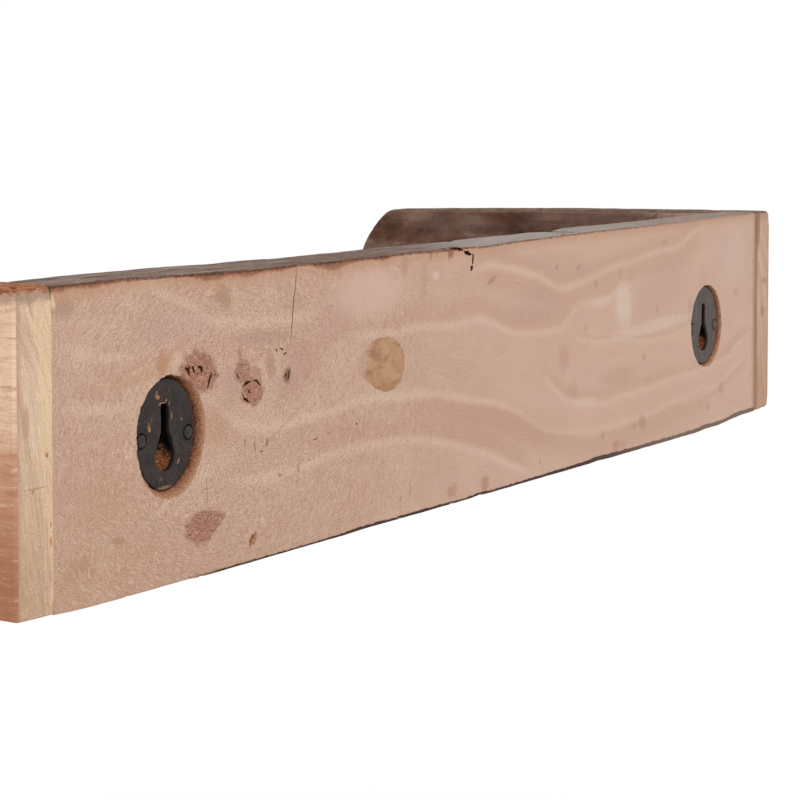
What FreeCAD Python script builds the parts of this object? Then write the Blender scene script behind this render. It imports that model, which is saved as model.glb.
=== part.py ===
"""A wall shelf of old boards that hangs on two screws by iron keyhole plates let into its back.

A back board and a shelf board stand between two cheeks with rounded noses, and hidden dowels hold the
four boards together. Lengths are millimetres. +Z is up, +X is to the right seen from the front, the
wall is the plane Y = 0, and the shelf reaches out from it towards -Y. The origin lies on the wall,
midway between the two screws.
"""
import FreeCAD, Part
import math
import os
import Sketcher

# Driving sizes: the alias in the sheet, the length, and what it measures
SIZES = [
    ("overall_length", 680, "over the outer faces of the two cheeks"),
    ("board_height", 124.9, "back board, and the cheeks where they meet the wall"),
    ("board_thickness", 21, "all four boards"),
    ("cheek_depth", 283, "from the wall to the front of a cheek"),
    ("hang_height", 69.9, "from the underside up to the line through the two screws"),
    ("hang_inset", 90, "from each end of the shelf in to its hanging screw"),
    ("nose_run", 28.7, "how far the nose of a cheek leans back, from its front to the top corner"),
    ("nose_rise", 53.4, "height of that leaning stretch"),
    ("top_fall", 5.6, "how much lower the top of a cheek is at its nose than at the wall"),
    ("top_crown", 1, "how far the top of a cheek bulges above a straight line"),
    ("nose_corner_radius", 5, "the corner between the nose and the top of a cheek"),
    ("cheek_edge_radius", 3, "worn long edges of the cheeks"),
    ("cheek_arris_radius", 2.5, "worn edge between the top of a cheek and its end at the wall"),
    ("back_edge_radius", 1.5, "worn long edges of the back board"),
    ("shelf_setback", 5, "from the front of the cheeks back to the front of the shelf board"),
    ("shelf_nose_radius", 4, "worn upper front edge of the shelf board"),
    ("shelf_lip_radius", 2.5, "worn lower front edge of the shelf board"),
    ("dowel_diameter", 8, "wooden dowels in all the joints"),
    ("dowel_in_face", 12, "length of a dowel in the board that is bored through its face"),
    ("dowel_in_end", 24, "length of a dowel in the board that is bored in its end or edge"),
    ("dowel_chamfer", 1, "chamfer at both ends of a dowel"),
    ("dowel_clearance", 0.1, "gap between a dowel and the wall of its hole"),
    ("dowel_end_gap", 0.5, "room for glue past each end of a dowel"),
    ("plate_height", 44.4, "oval keyhole plate"),
    ("plate_width", 37.4, "oval keyhole plate"),
    ("plate_thickness", 2, "keyhole plate"),
    ("plate_drop", 9.6, "from the hanging screw down to the middle of the plate"),
    ("plate_sink", 1.2, "from the wall face of the back board in to the face of the plate"),
    ("plate_bevel", 0.7, "bevel round the rim of the plate"),
    ("slot_width", 5.2, "slot that the shank of the hanging screw runs in"),
    ("slot_reach", 8.8, "from the hanging screw down to where the slot starts to widen"),
    ("entry_diameter", 12.5, "hole that the head of the hanging screw goes in by"),
    ("entry_drop", 18, "from the hanging screw down to the middle of the entry hole"),
    ("recess_width", 41.2, "oval recess that the plate lies in"),
    ("recess_height", 46.8, "oval recess that the plate lies in"),
    ("recess_shift", 1.2, "how far the recesses were cut to the left of their plates, seen from the front"),
    ("head_room_depth", 9, "pocket for the head of the screw, behind the plate"),
    ("head_room_margin", 1.2, "how much wider that pocket is than the entry hole, on each side"),
    ("nail_spacing", 30, "from one nail of a plate to the other"),
    ("nail_rise", -1, "height of the nails above the middle of the plate"),
    ("nail_head_diameter", 5.7, "nails of the plates"),
    ("nail_shank_diameter", 2.2, "nails of the plates"),
    ("nail_length", 15, "from the rim of the head to the point"),
    ("nail_point", 3.5, "tapered end of a nail"),
    ("nail_dome", 0.6, "height of the domed head above its rim"),
    ("nail_clearance", 0.1, "gap between a nail and the wall of its hole"),
    ("patch_width", 39, "putty in the back board"),
    ("patch_height", 24, "putty in the back board"),
    ("patch_depth", 1.5, "putty"),
    ("patch_inset", 246, "from the right end of the shelf in to the middle of the putty"),
    ("patch_up", 1.8, "height of the middle of the putty above the hanging screws"),
    ("patch_bulge_radius", 26, "curves of the putty's outline"),
    ("patch_clearance", 0.05, "gap between the putty and its hollow"),
]

# Places of the dowels, as shares of the height, the depth or the length that they are spread over
BACK_DOWEL_SHARES = (0.3, 0.78)
END_DOWEL_SHARES = (0.15, 0.5, 0.85)
REAR_DOWEL_SHARES = (-0.375, -0.125, 0.125, 0.375)

# Corners of the putty seen from the front, counterclockwise, as shares of its width and height
PATCH_CORNER_SHARES = ((-0.5, -0.08), (-0.38, -0.46), (-0.02, -0.5), (0.3, -0.1), (0.5, 0.02), (0.46, 0.34),
                       (-0.06, 0.5), (-0.36, 0.44))

# Formulas that more than one piece uses
HALF_INNER = "(sizes.overall_length / 2 - sizes.board_thickness)"
UNDERSIDE = "(-sizes.hang_height)"
TOP = "(sizes.board_height - sizes.hang_height)"
HANG_ACROSS = "(sizes.overall_length / 2 - sizes.hang_inset)"
BACK_FRONT = "(-sizes.board_thickness)"
HALF_THICKNESS = "(sizes.board_thickness / 2)"
SHELF_FRONT = "(-sizes.cheek_depth + sizes.shelf_setback)"
SHELF_MIDDLE_HEIGHT = f"({UNDERSIDE} + {HALF_THICKNESS})"
PLATE_MIDDLE = "(-sizes.plate_drop)"
NAIL_HEIGHT = f"({PLATE_MIDDLE} + sizes.nail_rise)"
RECESS_DEPTH = "(sizes.plate_sink + sizes.plate_thickness)"
DOWEL_HOLE = "(sizes.dowel_diameter + 2 * sizes.dowel_clearance)"
DOWEL_HOLE_IN_FACE = "(sizes.dowel_in_face + sizes.dowel_end_gap)"
DOWEL_HOLE_IN_END = "(sizes.dowel_in_end + sizes.dowel_end_gap)"
NAIL_HOLE = "(sizes.nail_shank_diameter + 2 * sizes.nail_clearance)"
HEAD_CONE = "((sizes.nail_head_diameter - sizes.nail_shank_diameter) / 2)"

# Two places nearer than this are the same
SAME_PLACE = 1e-6

# Names that the sketcher knows by number
SKETCH_ORIGIN = (-1, 1)
START = 1
END = 2
CENTRE = 3

doc = FreeCAD.newDocument("wall_shelf")
sheet = doc.addObject("Spreadsheet::Sheet", "sizes")
for row, (alias, length, meaning) in enumerate(SIZES, start=1):
    sheet.set(f"A{row}", alias)
    sheet.set(f"B{row}", str(length))
    sheet.setAlias(f"B{row}", alias)
    sheet.set(f"C{row}", meaning)
doc.recompute()


def value(formula):
    """The present value of a formula, in millimetres."""
    return float(sheet.evalExpression(formula))


def span_share(low, high, share):
    """The formula of a place between two others, as a share of the way."""
    return f"({low} + ({high} - {low}) * {share})"


def new_body(label):
    return doc.addObject("PartDesign::Body", label)


def new_sketch(body, name, plane, offset="0"):
    """A sketch on one of the body's own planes, moved along the normal of that plane."""
    sketch = body.newObject("Sketcher::SketchObject", name)
    support = next(feature for feature in body.Origin.OriginFeatures if feature.Role == plane)
    sketch.AttachmentSupport = (support, [""])
    sketch.MapMode = "FlatFace"
    sketch.setExpression("AttachmentOffset.Base.z", offset)
    return sketch


def bind(sketch, kind, places, formula):
    """Add a constraint and bind its value to a formula."""
    index = sketch.addConstraint(Sketcher.Constraint(kind, *places, value(formula)))
    sketch.setExpression(f"Constraints[{index}]", formula)


def hold_point(sketch, geometry, position, across, up):
    """Hold a point of a sketch at two distances from the sketch's origin."""
    bind(sketch, "DistanceX", (*SKETCH_ORIGIN, geometry, position), across)
    bind(sketch, "DistanceY", (*SKETCH_ORIGIN, geometry, position), up)


def add_outline(sketch, corners):
    """Draw a closed outline, counterclockwise.

    A corner is (across, up), or (across, up, radius) where the edge that leaves it bulges outwards.
    """
    points = [FreeCAD.Vector(value(corner[0]), value(corner[1]), 0) for corner in corners]
    edges = []
    for number, corner in enumerate(corners):
        here = points[number]
        there = points[(number + 1) % len(points)]
        if len(corner) > 2:
            chord = there - here
            inward = FreeCAD.Vector(-chord.y, chord.x, 0).normalize()
            radius = value(corner[2])
            centre = (here + there) / 2 + inward * math.sqrt(radius ** 2 - (chord.Length / 2) ** 2)
            curve = Part.Arc(here, centre - inward * radius, there)
        else:
            curve = Part.LineSegment(here, there)
        edges.append(sketch.addGeometry(curve, False))
    for number, corner in enumerate(corners):
        following = edges[(number + 1) % len(edges)]
        sketch.addConstraint(Sketcher.Constraint("Coincident", edges[number], END, following, START))
        hold_point(sketch, edges[number], START, corner[0], corner[1])
        if len(corner) > 2:
            bind(sketch, "Radius", (edges[number],), corner[2])


def add_circle(sketch, across, up, diameter):
    centre = FreeCAD.Vector(value(across), value(up), 0)
    normal = FreeCAD.Vector(0, 0, 1)
    circle = sketch.addGeometry(Part.Circle(centre, normal, value(diameter) / 2), False)
    hold_point(sketch, circle, CENTRE, across, up)
    bind(sketch, "Diameter", (circle,), diameter)


def add_oval(sketch, across, up, width, height):
    """Draw an ellipse. Its major axis is the longer of the two, whichever way it points."""
    centre = FreeCAD.Vector(value(across), value(up), 0)
    sideways = FreeCAD.Vector(value(width) / 2, 0, 0)
    upwards = FreeCAD.Vector(0, value(height) / 2, 0)
    tall = upwards.Length > sideways.Length
    major, minor = (upwards, sideways) if tall else (sideways, upwards)
    oval = sketch.addGeometry(Part.Ellipse(centre + major, centre + minor, centre), False)
    sketch.exposeInternalGeometry(oval)
    major_axis = oval + 1
    minor_axis = oval + 2
    hold_point(sketch, oval, CENTRE, across, up)
    sketch.addConstraint(Sketcher.Constraint("Vertical" if tall else "Horizontal", major_axis))
    bind(sketch, "Distance", (major_axis,), height if tall else width)
    bind(sketch, "Distance", (minor_axis,), width if tall else height)


def add_slot(sketch, across, top, bottom, width):
    """Draw an upright slot with round ends, whose end arcs have their centres at top and bottom."""
    middle = value(across)
    high = value(top)
    low = value(bottom)
    radius = value(width) / 2
    right_side = FreeCAD.Vector(middle + radius, 0, 0)
    left_side = FreeCAD.Vector(middle - radius, 0, 0)
    lift_high = FreeCAD.Vector(0, high, 0)
    lift_low = FreeCAD.Vector(0, low, 0)
    crest = FreeCAD.Vector(middle, high + radius, 0)
    trough = FreeCAD.Vector(middle, low - radius, 0)
    right = sketch.addGeometry(Part.LineSegment(right_side + lift_low, right_side + lift_high), False)
    cap = sketch.addGeometry(Part.Arc(right_side + lift_high, crest, left_side + lift_high), False)
    left = sketch.addGeometry(Part.LineSegment(left_side + lift_high, left_side + lift_low), False)
    cup = sketch.addGeometry(Part.Arc(left_side + lift_low, trough, right_side + lift_low), False)
    for one, other in ((right, cap), (cap, left), (left, cup), (cup, right)):
        sketch.addConstraint(Sketcher.Constraint("Tangent", one, END, other, START))
    hold_point(sketch, cap, CENTRE, across, top)
    bind(sketch, "DistanceY", (*SKETCH_ORIGIN, cup, CENTRE), bottom)
    bind(sketch, "Radius", (cap,), f"{width} / 2")


def add_keyhole(sketch):
    """Draw the keyhole: a square-ended slot that widens, by two tangents, into the round entry hole."""
    half_slot = "(sizes.slot_width / 2)"
    slot_end = half_slot
    widening = "(-sizes.slot_reach)"
    entry = "(-sizes.entry_drop)"
    radius = value("sizes.entry_diameter / 2")
    centre = FreeCAD.Vector(0, value(entry), 0)
    shoulder = FreeCAD.Vector(value(half_slot), value(widening), 0)
    toward = shoulder - centre
    turn = math.atan2(toward.y, toward.x) - math.acos(radius / toward.Length)
    touch = centre + FreeCAD.Vector(math.cos(turn), math.sin(turn), 0) * radius
    corner = FreeCAD.Vector(value(half_slot), value(slot_end), 0)

    def other_side(point):
        return FreeCAD.Vector(-point.x, point.y, 0)

    bottom = centre - FreeCAD.Vector(0, radius, 0)
    path = [touch, shoulder, corner, other_side(corner), other_side(shoulder), other_side(touch)]
    lines = []
    for here, there in zip(path, path[1:]):
        lines.append(sketch.addGeometry(Part.LineSegment(here, there), False))
    bow = sketch.addGeometry(Part.Arc(other_side(touch), bottom, touch), False)
    for one, other in zip(lines, lines[1:]):
        sketch.addConstraint(Sketcher.Constraint("Coincident", one, END, other, START))
    sketch.addConstraint(Sketcher.Constraint("Tangent", lines[-1], END, bow, START))
    sketch.addConstraint(Sketcher.Constraint("Tangent", bow, END, lines[0], START))
    hold_point(sketch, lines[1], START, half_slot, widening)
    hold_point(sketch, lines[2], START, half_slot, slot_end)
    hold_point(sketch, lines[3], START, f"(-{half_slot})", slot_end)
    hold_point(sketch, lines[4], START, f"(-{half_slot})", widening)
    hold_point(sketch, bow, CENTRE, "0", entry)
    bind(sketch, "Radius", (bow,), "sizes.entry_diameter / 2")


def add_pad(body, sketch, length, midplane=False):
    """Grow the sketch along its normal, or evenly to both sides of its plane."""
    pad = body.newObject("PartDesign::Pad", sketch.Name + "_pad")
    pad.Profile = sketch
    pad.setExpression("Length", length)
    if midplane:
        pad.Midplane = True
    sketch.Visibility = False
    doc.recompute()
    return pad


def add_pocket(body, sketch, depth, along_normal=False):
    """Cut the sketch into the body, against its normal unless told otherwise."""
    doc.recompute()
    before = body.Shape.Volume
    pocket = body.newObject("PartDesign::Pocket", sketch.Name + "_pocket")
    pocket.Profile = sketch
    pocket.Reversed = along_normal
    pocket.setExpression("Length", depth)
    sketch.Visibility = False
    doc.recompute()
    if body.Shape.Volume >= before:
        raise ValueError(f"{pocket.Name} cut nothing from {body.Label}")
    return pocket


def add_mirror(body, feature):
    """Repeat a feature on the other side of the middle of the shelf."""
    doc.recompute()
    before = body.Shape.Volume
    mirror = body.newObject("PartDesign::Mirrored", feature.Name + "_mirrored")
    mirror.Originals = [feature]
    middle = next(plane for plane in body.Origin.OriginFeatures if plane.Role == "YZ_Plane")
    mirror.MirrorPlane = (middle, [""])
    body.Tip = mirror
    doc.recompute()
    if body.Shape.Volume >= before:
        raise ValueError(f"{mirror.Name} cut nothing from {body.Label}")


def ease_edges(body, kind, name, size, wanted):
    """Fillet or chamfer every edge of the body that the test picks."""
    base = body.Tip
    edges = [f"Edge{number}" for number, edge in enumerate(base.Shape.Edges, start=1) if wanted(edge)]
    if not edges:
        raise ValueError(f"{name} found no edge on {body.Label}")
    feature = body.newObject(f"PartDesign::{kind}", name)
    feature.Base = (base, edges)
    feature.setExpression("Radius" if kind == "Fillet" else "Size", size)
    body.Tip = feature
    doc.recompute()


def close_to(first, second):
    return math.isclose(first, second, abs_tol=SAME_PLACE)


def place(body, across="0", out="0", up="0"):
    for axis, formula in (("x", across), ("y", out), ("z", up)):
        body.setExpression(f"Placement.Base.{axis}", formula)
    doc.recompute()


def putty_corners(room):
    """The outline of the putty, or of its hollow with some room all round."""
    middle = "(sizes.overall_length / 2 - sizes.patch_inset)"
    corners = []
    for across_share, up_share in PATCH_CORNER_SHARES:
        across = f"({middle} + {across_share} * (sizes.patch_width + 2 * {room}))"
        up = f"(sizes.patch_up + {up_share} * (sizes.patch_height + 2 * {room}))"
        corners.append((across, up, "sizes.patch_bulge_radius"))
    return corners


def make_back_board():
    """The board against the wall, with the seats of the plates, the putty and the dowels."""
    body = new_body("back_board")
    face = new_sketch(body, "back_face", "XZ_Plane")
    left = f"(-{HALF_INNER})"
    add_outline(face, [(left, UNDERSIDE), (HALF_INNER, UNDERSIDE), (HALF_INNER, TOP), (left, TOP)])
    add_pad(body, face, "sizes.board_thickness")

    def runs_lengthwise(edge):
        size = edge.BoundBox
        return size.XLength > value(HALF_INNER)

    ease_edges(body, "Fillet", "back_worn_edges", "sizes.back_edge_radius", runs_lengthwise)

    recess = new_sketch(body, "plate_recess", "XZ_Plane")
    for side in ("-", "+"):
        middle = f"({side}{HANG_ACROSS} - sizes.recess_shift)"
        add_oval(recess, middle, PLATE_MIDDLE, "sizes.recess_width", "sizes.recess_height")
    add_pocket(body, recess, RECESS_DEPTH, along_normal=True)

    room = new_sketch(body, "head_room", "XZ_Plane")
    room_width = "(sizes.entry_diameter + 2 * sizes.head_room_margin)"
    add_slot(room, HANG_ACROSS, "0", "(-sizes.entry_drop)", room_width)
    room_depth = f"({RECESS_DEPTH} + sizes.head_room_depth)"
    add_mirror(body, add_pocket(body, room, room_depth, along_normal=True))

    pilots = new_sketch(body, "nail_pilots", "XZ_Plane")
    for side in ("-", "+"):
        add_circle(pilots, f"({HANG_ACROSS} {side} sizes.nail_spacing / 2)", NAIL_HEIGHT, NAIL_HOLE)
    pilot_depth = "(sizes.plate_sink + sizes.nail_length + sizes.nail_clearance)"
    add_mirror(body, add_pocket(body, pilots, pilot_depth, along_normal=True))

    hollow = new_sketch(body, "putty_hollow", "XZ_Plane")
    add_outline(hollow, putty_corners("sizes.patch_clearance"))
    add_pocket(body, hollow, "sizes.patch_depth", along_normal=True)

    ends = new_sketch(body, "end_dowel_holes", "YZ_Plane", HALF_INNER)
    for share in BACK_DOWEL_SHARES:
        add_circle(ends, f"(-{HALF_THICKNESS})", span_share(UNDERSIDE, TOP, share), DOWEL_HOLE)
    add_mirror(body, add_pocket(body, ends, DOWEL_HOLE_IN_END))

    front = new_sketch(body, "shelf_dowel_holes", "XZ_Plane", "sizes.board_thickness")
    for share in REAR_DOWEL_SHARES:
        add_circle(front, f"(2 * {HALF_INNER} * {share})", SHELF_MIDDLE_HEIGHT, DOWEL_HOLE)
    add_pocket(body, front, DOWEL_HOLE_IN_FACE)
    return body


def end_dowel_places():
    """Where dowels cross from a cheek into the ends of the boards, as (out from the wall, up)."""
    places = []
    for share in BACK_DOWEL_SHARES:
        places.append((f"(-{HALF_THICKNESS})", span_share(UNDERSIDE, TOP, share)))
    for share in END_DOWEL_SHARES:
        places.append((span_share(BACK_FRONT, SHELF_FRONT, share), SHELF_MIDDLE_HEIGHT))
    return places


def make_left_cheek():
    """The board at the end of the shelf, with a rounded nose and a top that falls towards it."""
    body = new_body("left_cheek")
    profile = new_sketch(body, "cheek_profile", "YZ_Plane", "-sizes.overall_length / 2")
    front = "(-sizes.cheek_depth)"
    nose_height = f"({TOP} - sizes.top_fall - sizes.nose_rise)"
    corner_height = f"({TOP} - sizes.top_fall)"
    corner_depth = "(-sizes.cheek_depth + sizes.nose_run)"
    nose_radius = "((sizes.nose_rise ^ 2 + sizes.nose_run ^ 2) / (2 * sizes.nose_run))"
    top_chord = "((sizes.cheek_depth - sizes.nose_run) ^ 2 + sizes.top_fall ^ 2)"
    top_radius = f"(({top_chord} / 4 + sizes.top_crown ^ 2) / (2 * sizes.top_crown))"
    add_outline(profile, [
        (front, UNDERSIDE),
        ("0", UNDERSIDE),
        ("0", TOP, top_radius),
        (corner_depth, corner_height, nose_radius),
        (front, nose_height),
    ])
    add_pad(body, profile, "sizes.board_thickness")

    def at_the_corner(edge):
        middle = edge.CenterOfMass
        return close_to(middle.y, value(corner_depth)) and close_to(middle.z, value(corner_height))

    ease_edges(body, "Fillet", "nose_corner", "sizes.nose_corner_radius", at_the_corner)

    def follows_top_or_nose(edge):
        size = edge.BoundBox
        keeps_to_one_face = size.XLength < value("sizes.cheek_edge_radius")
        off_the_underside = size.Center.z > value(UNDERSIDE)
        off_the_wall = size.Center.y < value(BACK_FRONT)
        return keeps_to_one_face and off_the_underside and off_the_wall

    ease_edges(body, "Fillet", "cheek_worn_edges", "sizes.cheek_edge_radius", follows_top_or_nose)

    def crosses_at_the_wall(edge):
        size = edge.BoundBox
        return close_to(size.YMin, 0) and close_to(size.ZMin, value(TOP)) and size.ZLength < SAME_PLACE

    ease_edges(body, "Fillet", "cheek_arris", "sizes.cheek_arris_radius", crosses_at_the_wall)

    inner_face = f"(-{HALF_INNER})"
    holes = new_sketch(body, "cheek_dowel_holes", "YZ_Plane", inner_face)
    for out, up in end_dowel_places():
        add_circle(holes, out, up, DOWEL_HOLE)
    add_pocket(body, holes, DOWEL_HOLE_IN_FACE)
    return body


def make_right_cheek(left_cheek):
    """The other end of the shelf, a mirror image of the first."""
    cheek = doc.addObject("Part::Mirroring", "right_cheek")
    cheek.Source = left_cheek
    cheek.Normal = FreeCAD.Vector(1, 0, 0)
    doc.recompute()
    return cheek


def make_shelf_board():
    """The board that things stand on, between the cheeks and against the front of the back board."""
    body = new_body("shelf_board")
    profile = new_sketch(body, "shelf_profile", "YZ_Plane")
    upper = f"({UNDERSIDE} + sizes.board_thickness)"
    add_outline(profile, [
        (SHELF_FRONT, UNDERSIDE),
        (BACK_FRONT, UNDERSIDE),
        (BACK_FRONT, upper),
        (SHELF_FRONT, upper),
    ])
    add_pad(body, profile, f"2 * {HALF_INNER}", midplane=True)

    def front_edge(height):
        def wanted(edge):
            middle = edge.CenterOfMass
            return close_to(middle.y, value(SHELF_FRONT)) and close_to(middle.z, value(height))
        return wanted

    ease_edges(body, "Fillet", "shelf_nose", "sizes.shelf_nose_radius", front_edge(upper))
    ease_edges(body, "Fillet", "shelf_lip", "sizes.shelf_lip_radius", front_edge(UNDERSIDE))

    ends = new_sketch(body, "shelf_end_holes", "YZ_Plane", HALF_INNER)
    for share in END_DOWEL_SHARES:
        add_circle(ends, span_share(BACK_FRONT, SHELF_FRONT, share), SHELF_MIDDLE_HEIGHT, DOWEL_HOLE)
    add_mirror(body, add_pocket(body, ends, DOWEL_HOLE_IN_END))

    rear = new_sketch(body, "shelf_rear_holes", "XZ_Plane", "sizes.board_thickness")
    for share in REAR_DOWEL_SHARES:
        add_circle(rear, f"(2 * {HALF_INNER} * {share})", SHELF_MIDDLE_HEIGHT, DOWEL_HOLE)
    add_pocket(body, rear, DOWEL_HOLE_IN_END, along_normal=True)
    return body


def make_putty():
    """The putty that fills a flaw, level with the wall face of the back board."""
    body = new_body("filler_patch")
    smear = new_sketch(body, "putty_outline", "XZ_Plane")
    add_outline(smear, putty_corners("0"))
    add_pad(body, smear, "sizes.patch_depth")
    return body


def make_keyhole_plate(label, side):
    """An iron plate with a bevelled rim, a keyhole and two countersunk nail holes."""
    body = new_body(label)
    rim = new_sketch(body, label + "_rim", "XZ_Plane")
    add_oval(rim, "0", PLATE_MIDDLE, "sizes.plate_width", "sizes.plate_height")
    add_pad(body, rim, "sizes.plate_thickness")

    def on_the_face(edge):
        return close_to(edge.BoundBox.YMin, 0) and close_to(edge.BoundBox.YMax, 0)

    ease_edges(body, "Chamfer", label + "_bevel", "sizes.plate_bevel", on_the_face)

    keyhole = new_sketch(body, label + "_keyhole", "XZ_Plane")
    add_keyhole(keyhole)
    add_pocket(body, keyhole, "sizes.plate_thickness", along_normal=True)

    nails = new_sketch(body, label + "_nail_holes", "XZ_Plane")
    for across in ("(-sizes.nail_spacing / 2)", "(sizes.nail_spacing / 2)"):
        add_circle(nails, across, NAIL_HEIGHT, NAIL_HOLE)
    add_pocket(body, nails, "sizes.plate_thickness", along_normal=True)

    def rim_of_nail_hole(edge):
        is_round = isinstance(edge.Curve, Part.Circle)
        return is_round and on_the_face(edge) and close_to(edge.Curve.Radius, value(NAIL_HOLE) / 2)

    ease_edges(body, "Chamfer", label + "_countersink", HEAD_CONE, rim_of_nail_hole)
    place(body, across=f"({side}{HANG_ACROSS})", out="-sizes.plate_sink")
    return body


def make_revolved(label, corners, rotation):
    """A turned piece. Its outline runs up the right of the axis, and the axis is the sketch's upright."""
    body = new_body(label)
    half = new_sketch(body, label + "_half", "XZ_Plane")
    add_outline(half, corners)
    turned = body.newObject("PartDesign::Revolution", label + "_turned")
    turned.Profile = half
    turned.ReferenceAxis = (half, ["V_Axis"])
    half.Visibility = False
    body.Placement.Rotation = rotation
    doc.recompute()
    return body


def make_nail(label, across):
    """A nail whose domed head sits in the countersink of a plate."""
    head_radius = "(sizes.nail_head_diameter / 2)"
    shank_radius = "(sizes.nail_shank_diameter / 2)"
    dome_radius = f"(({head_radius} ^ 2 + sizes.nail_dome ^ 2) / (2 * sizes.nail_dome))"
    corners = [
        ("0", "(-sizes.nail_length)"),
        (shank_radius, "(-sizes.nail_length + sizes.nail_point)"),
        (shank_radius, f"(-{HEAD_CONE})"),
        (head_radius, "0", dome_radius),
        ("0", "sizes.nail_dome"),
    ]
    facing_wall = FreeCAD.Rotation(FreeCAD.Vector(0, 0, 1), FreeCAD.Vector(0, 1, 0))
    body = make_revolved(label, corners, facing_wall)
    place(body, across, "-sizes.plate_sink", NAIL_HEIGHT)
    return body


def make_dowel(label, direction, across, out, up):
    """A dowel with chamfered ends, from its end in a bored face along the direction given."""
    radius = "(sizes.dowel_diameter / 2)"
    narrow = f"({radius} - sizes.dowel_chamfer)"
    length = "(sizes.dowel_in_face + sizes.dowel_in_end)"
    corners = [
        ("0", "0"),
        (narrow, "0"),
        (radius, "sizes.dowel_chamfer"),
        (radius, f"({length} - sizes.dowel_chamfer)"),
        (narrow, length),
        ("0", length),
    ]
    body = make_revolved(label, corners, FreeCAD.Rotation(FreeCAD.Vector(0, 0, 1), direction))
    place(body, across, out, up)
    return body


def make_dowels():
    """All the dowels: from each cheek into the boards' ends, and from the back board into the shelf."""
    dowels = []
    along_shelf = FreeCAD.Vector(1, 0, 0)
    for name, side, direction in (("left", "-", along_shelf), ("right", "+", -along_shelf)):
        across = f"({side}({HALF_INNER} + sizes.dowel_in_face))"
        for number, (out, up) in enumerate(end_dowel_places()):
            if number < len(BACK_DOWEL_SHARES):
                label = f"{name}_back_dowel_{number + 1}"
            else:
                label = f"{name}_shelf_dowel_{number + 1 - len(BACK_DOWEL_SHARES)}"
            dowels.append(make_dowel(label, direction, across, out, up))
    away_from_wall = FreeCAD.Vector(0, -1, 0)
    out = f"({BACK_FRONT} + sizes.dowel_in_face)"
    for number, share in enumerate(REAR_DOWEL_SHARES, start=1):
        across = f"(2 * {HALF_INNER} * {share})"
        dowels.append(make_dowel(f"rear_dowel_{number}", away_from_wall, across, out, SHELF_MIDDLE_HEIGHT))
    return dowels


def make_hardware():
    """The two keyhole plates, each with its two nails."""
    pieces = []
    for name, side in (("left", "-"), ("right", "+")):
        pieces.append(make_keyhole_plate(f"{name}_keyhole_plate", side))
        for number, nail_side in enumerate(("-", "+"), start=1):
            across = f"({side}{HANG_ACROSS} {nail_side} sizes.nail_spacing / 2)"
            pieces.append(make_nail(f"{name}_plate_nail_{number}", across))
    return pieces


def check_document():
    """Stop if anything in the document failed without raising."""
    doc.recompute()
    for thing in doc.Objects:
        if "Invalid" in thing.State or "Error" in thing.State:
            raise ValueError(f"{thing.Label} is {thing.State}")


def export(pieces):
    """Write each piece to a file of its own, once its shape is sound."""
    os.makedirs("parts", exist_ok=True)
    for piece in pieces:
        if piece.Shape.isNull() or not piece.Shape.isValid():
            raise ValueError(f"{piece.Label} has no sound shape")
        piece.Shape.exportStep(f"parts/{piece.Label}.step")
        print(f"{piece.Label}: {len(piece.Shape.Solids)} solid, {piece.Shape.Volume:.0f} mm3")


left_cheek = make_left_cheek()
shelf_pieces = [make_back_board(), left_cheek, make_right_cheek(left_cheek), make_shelf_board()]
shelf_pieces.append(make_putty())
shelf_pieces += make_hardware()
shelf_pieces += make_dowels()
check_document()
export(shelf_pieces)
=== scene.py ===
# %% [markdown]
# This lesson dresses a wall shelf made of old boards. We see it from behind, from the wall's side: a freshly
# planed back board, two cheeks, and two iron keyhole plates that two screws in the wall go into.
# The measured model is loaded first. It says where everything is, so no piece is placed by eye.

# %% Load the measured shelf
import math

import bpy
import numpy as np
from mathutils import Matrix, Vector, noise


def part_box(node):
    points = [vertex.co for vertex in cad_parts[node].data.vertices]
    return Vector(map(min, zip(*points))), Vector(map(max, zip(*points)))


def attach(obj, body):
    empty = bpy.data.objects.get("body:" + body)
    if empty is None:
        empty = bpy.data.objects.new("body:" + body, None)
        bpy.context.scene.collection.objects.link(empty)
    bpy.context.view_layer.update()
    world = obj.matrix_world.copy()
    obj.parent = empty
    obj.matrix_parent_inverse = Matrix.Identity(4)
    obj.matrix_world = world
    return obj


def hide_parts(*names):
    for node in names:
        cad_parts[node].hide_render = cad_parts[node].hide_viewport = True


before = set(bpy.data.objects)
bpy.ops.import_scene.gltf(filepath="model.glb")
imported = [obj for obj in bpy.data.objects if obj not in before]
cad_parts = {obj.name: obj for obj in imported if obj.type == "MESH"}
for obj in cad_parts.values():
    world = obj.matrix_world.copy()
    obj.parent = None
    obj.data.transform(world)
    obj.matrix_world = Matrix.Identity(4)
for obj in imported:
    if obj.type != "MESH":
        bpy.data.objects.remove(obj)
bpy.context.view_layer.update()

print("nodes in the measured model:", len(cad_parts))

# %% [markdown]
# Old boards are described best from one corner. Here a place is three millimetre values: along the shelf from its
# right end (seen from the front), up from the underside, and deep from the wall into the shelf. The same three
# values are used for modelling and for painting, so a knot is cut and coloured from one line of a table.

# %% Places on the shelf
MM = 0.001
BACK_LOW, BACK_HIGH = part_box("back_board")
SHELF_LOW, SHELF_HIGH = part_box("shelf_board")
RIGHT_LOW, RIGHT_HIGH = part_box("right_cheek")
LEFT_LOW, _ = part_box("left_cheek")
END = RIGHT_HIGH.x
UNDERSIDE = BACK_LOW.z
LENGTH = (RIGHT_HIGH.x - LEFT_LOW.x) / MM
HEIGHT = (BACK_HIGH.z - BACK_LOW.z) / MM
THICKNESS = (BACK_HIGH.y - BACK_LOW.y) / MM
DEPTH = -RIGHT_LOW.y / MM


def place(along, up, deep=0.0):
    return Vector((END - along * MM, -deep * MM, UNDERSIDE + up * MM))


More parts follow.
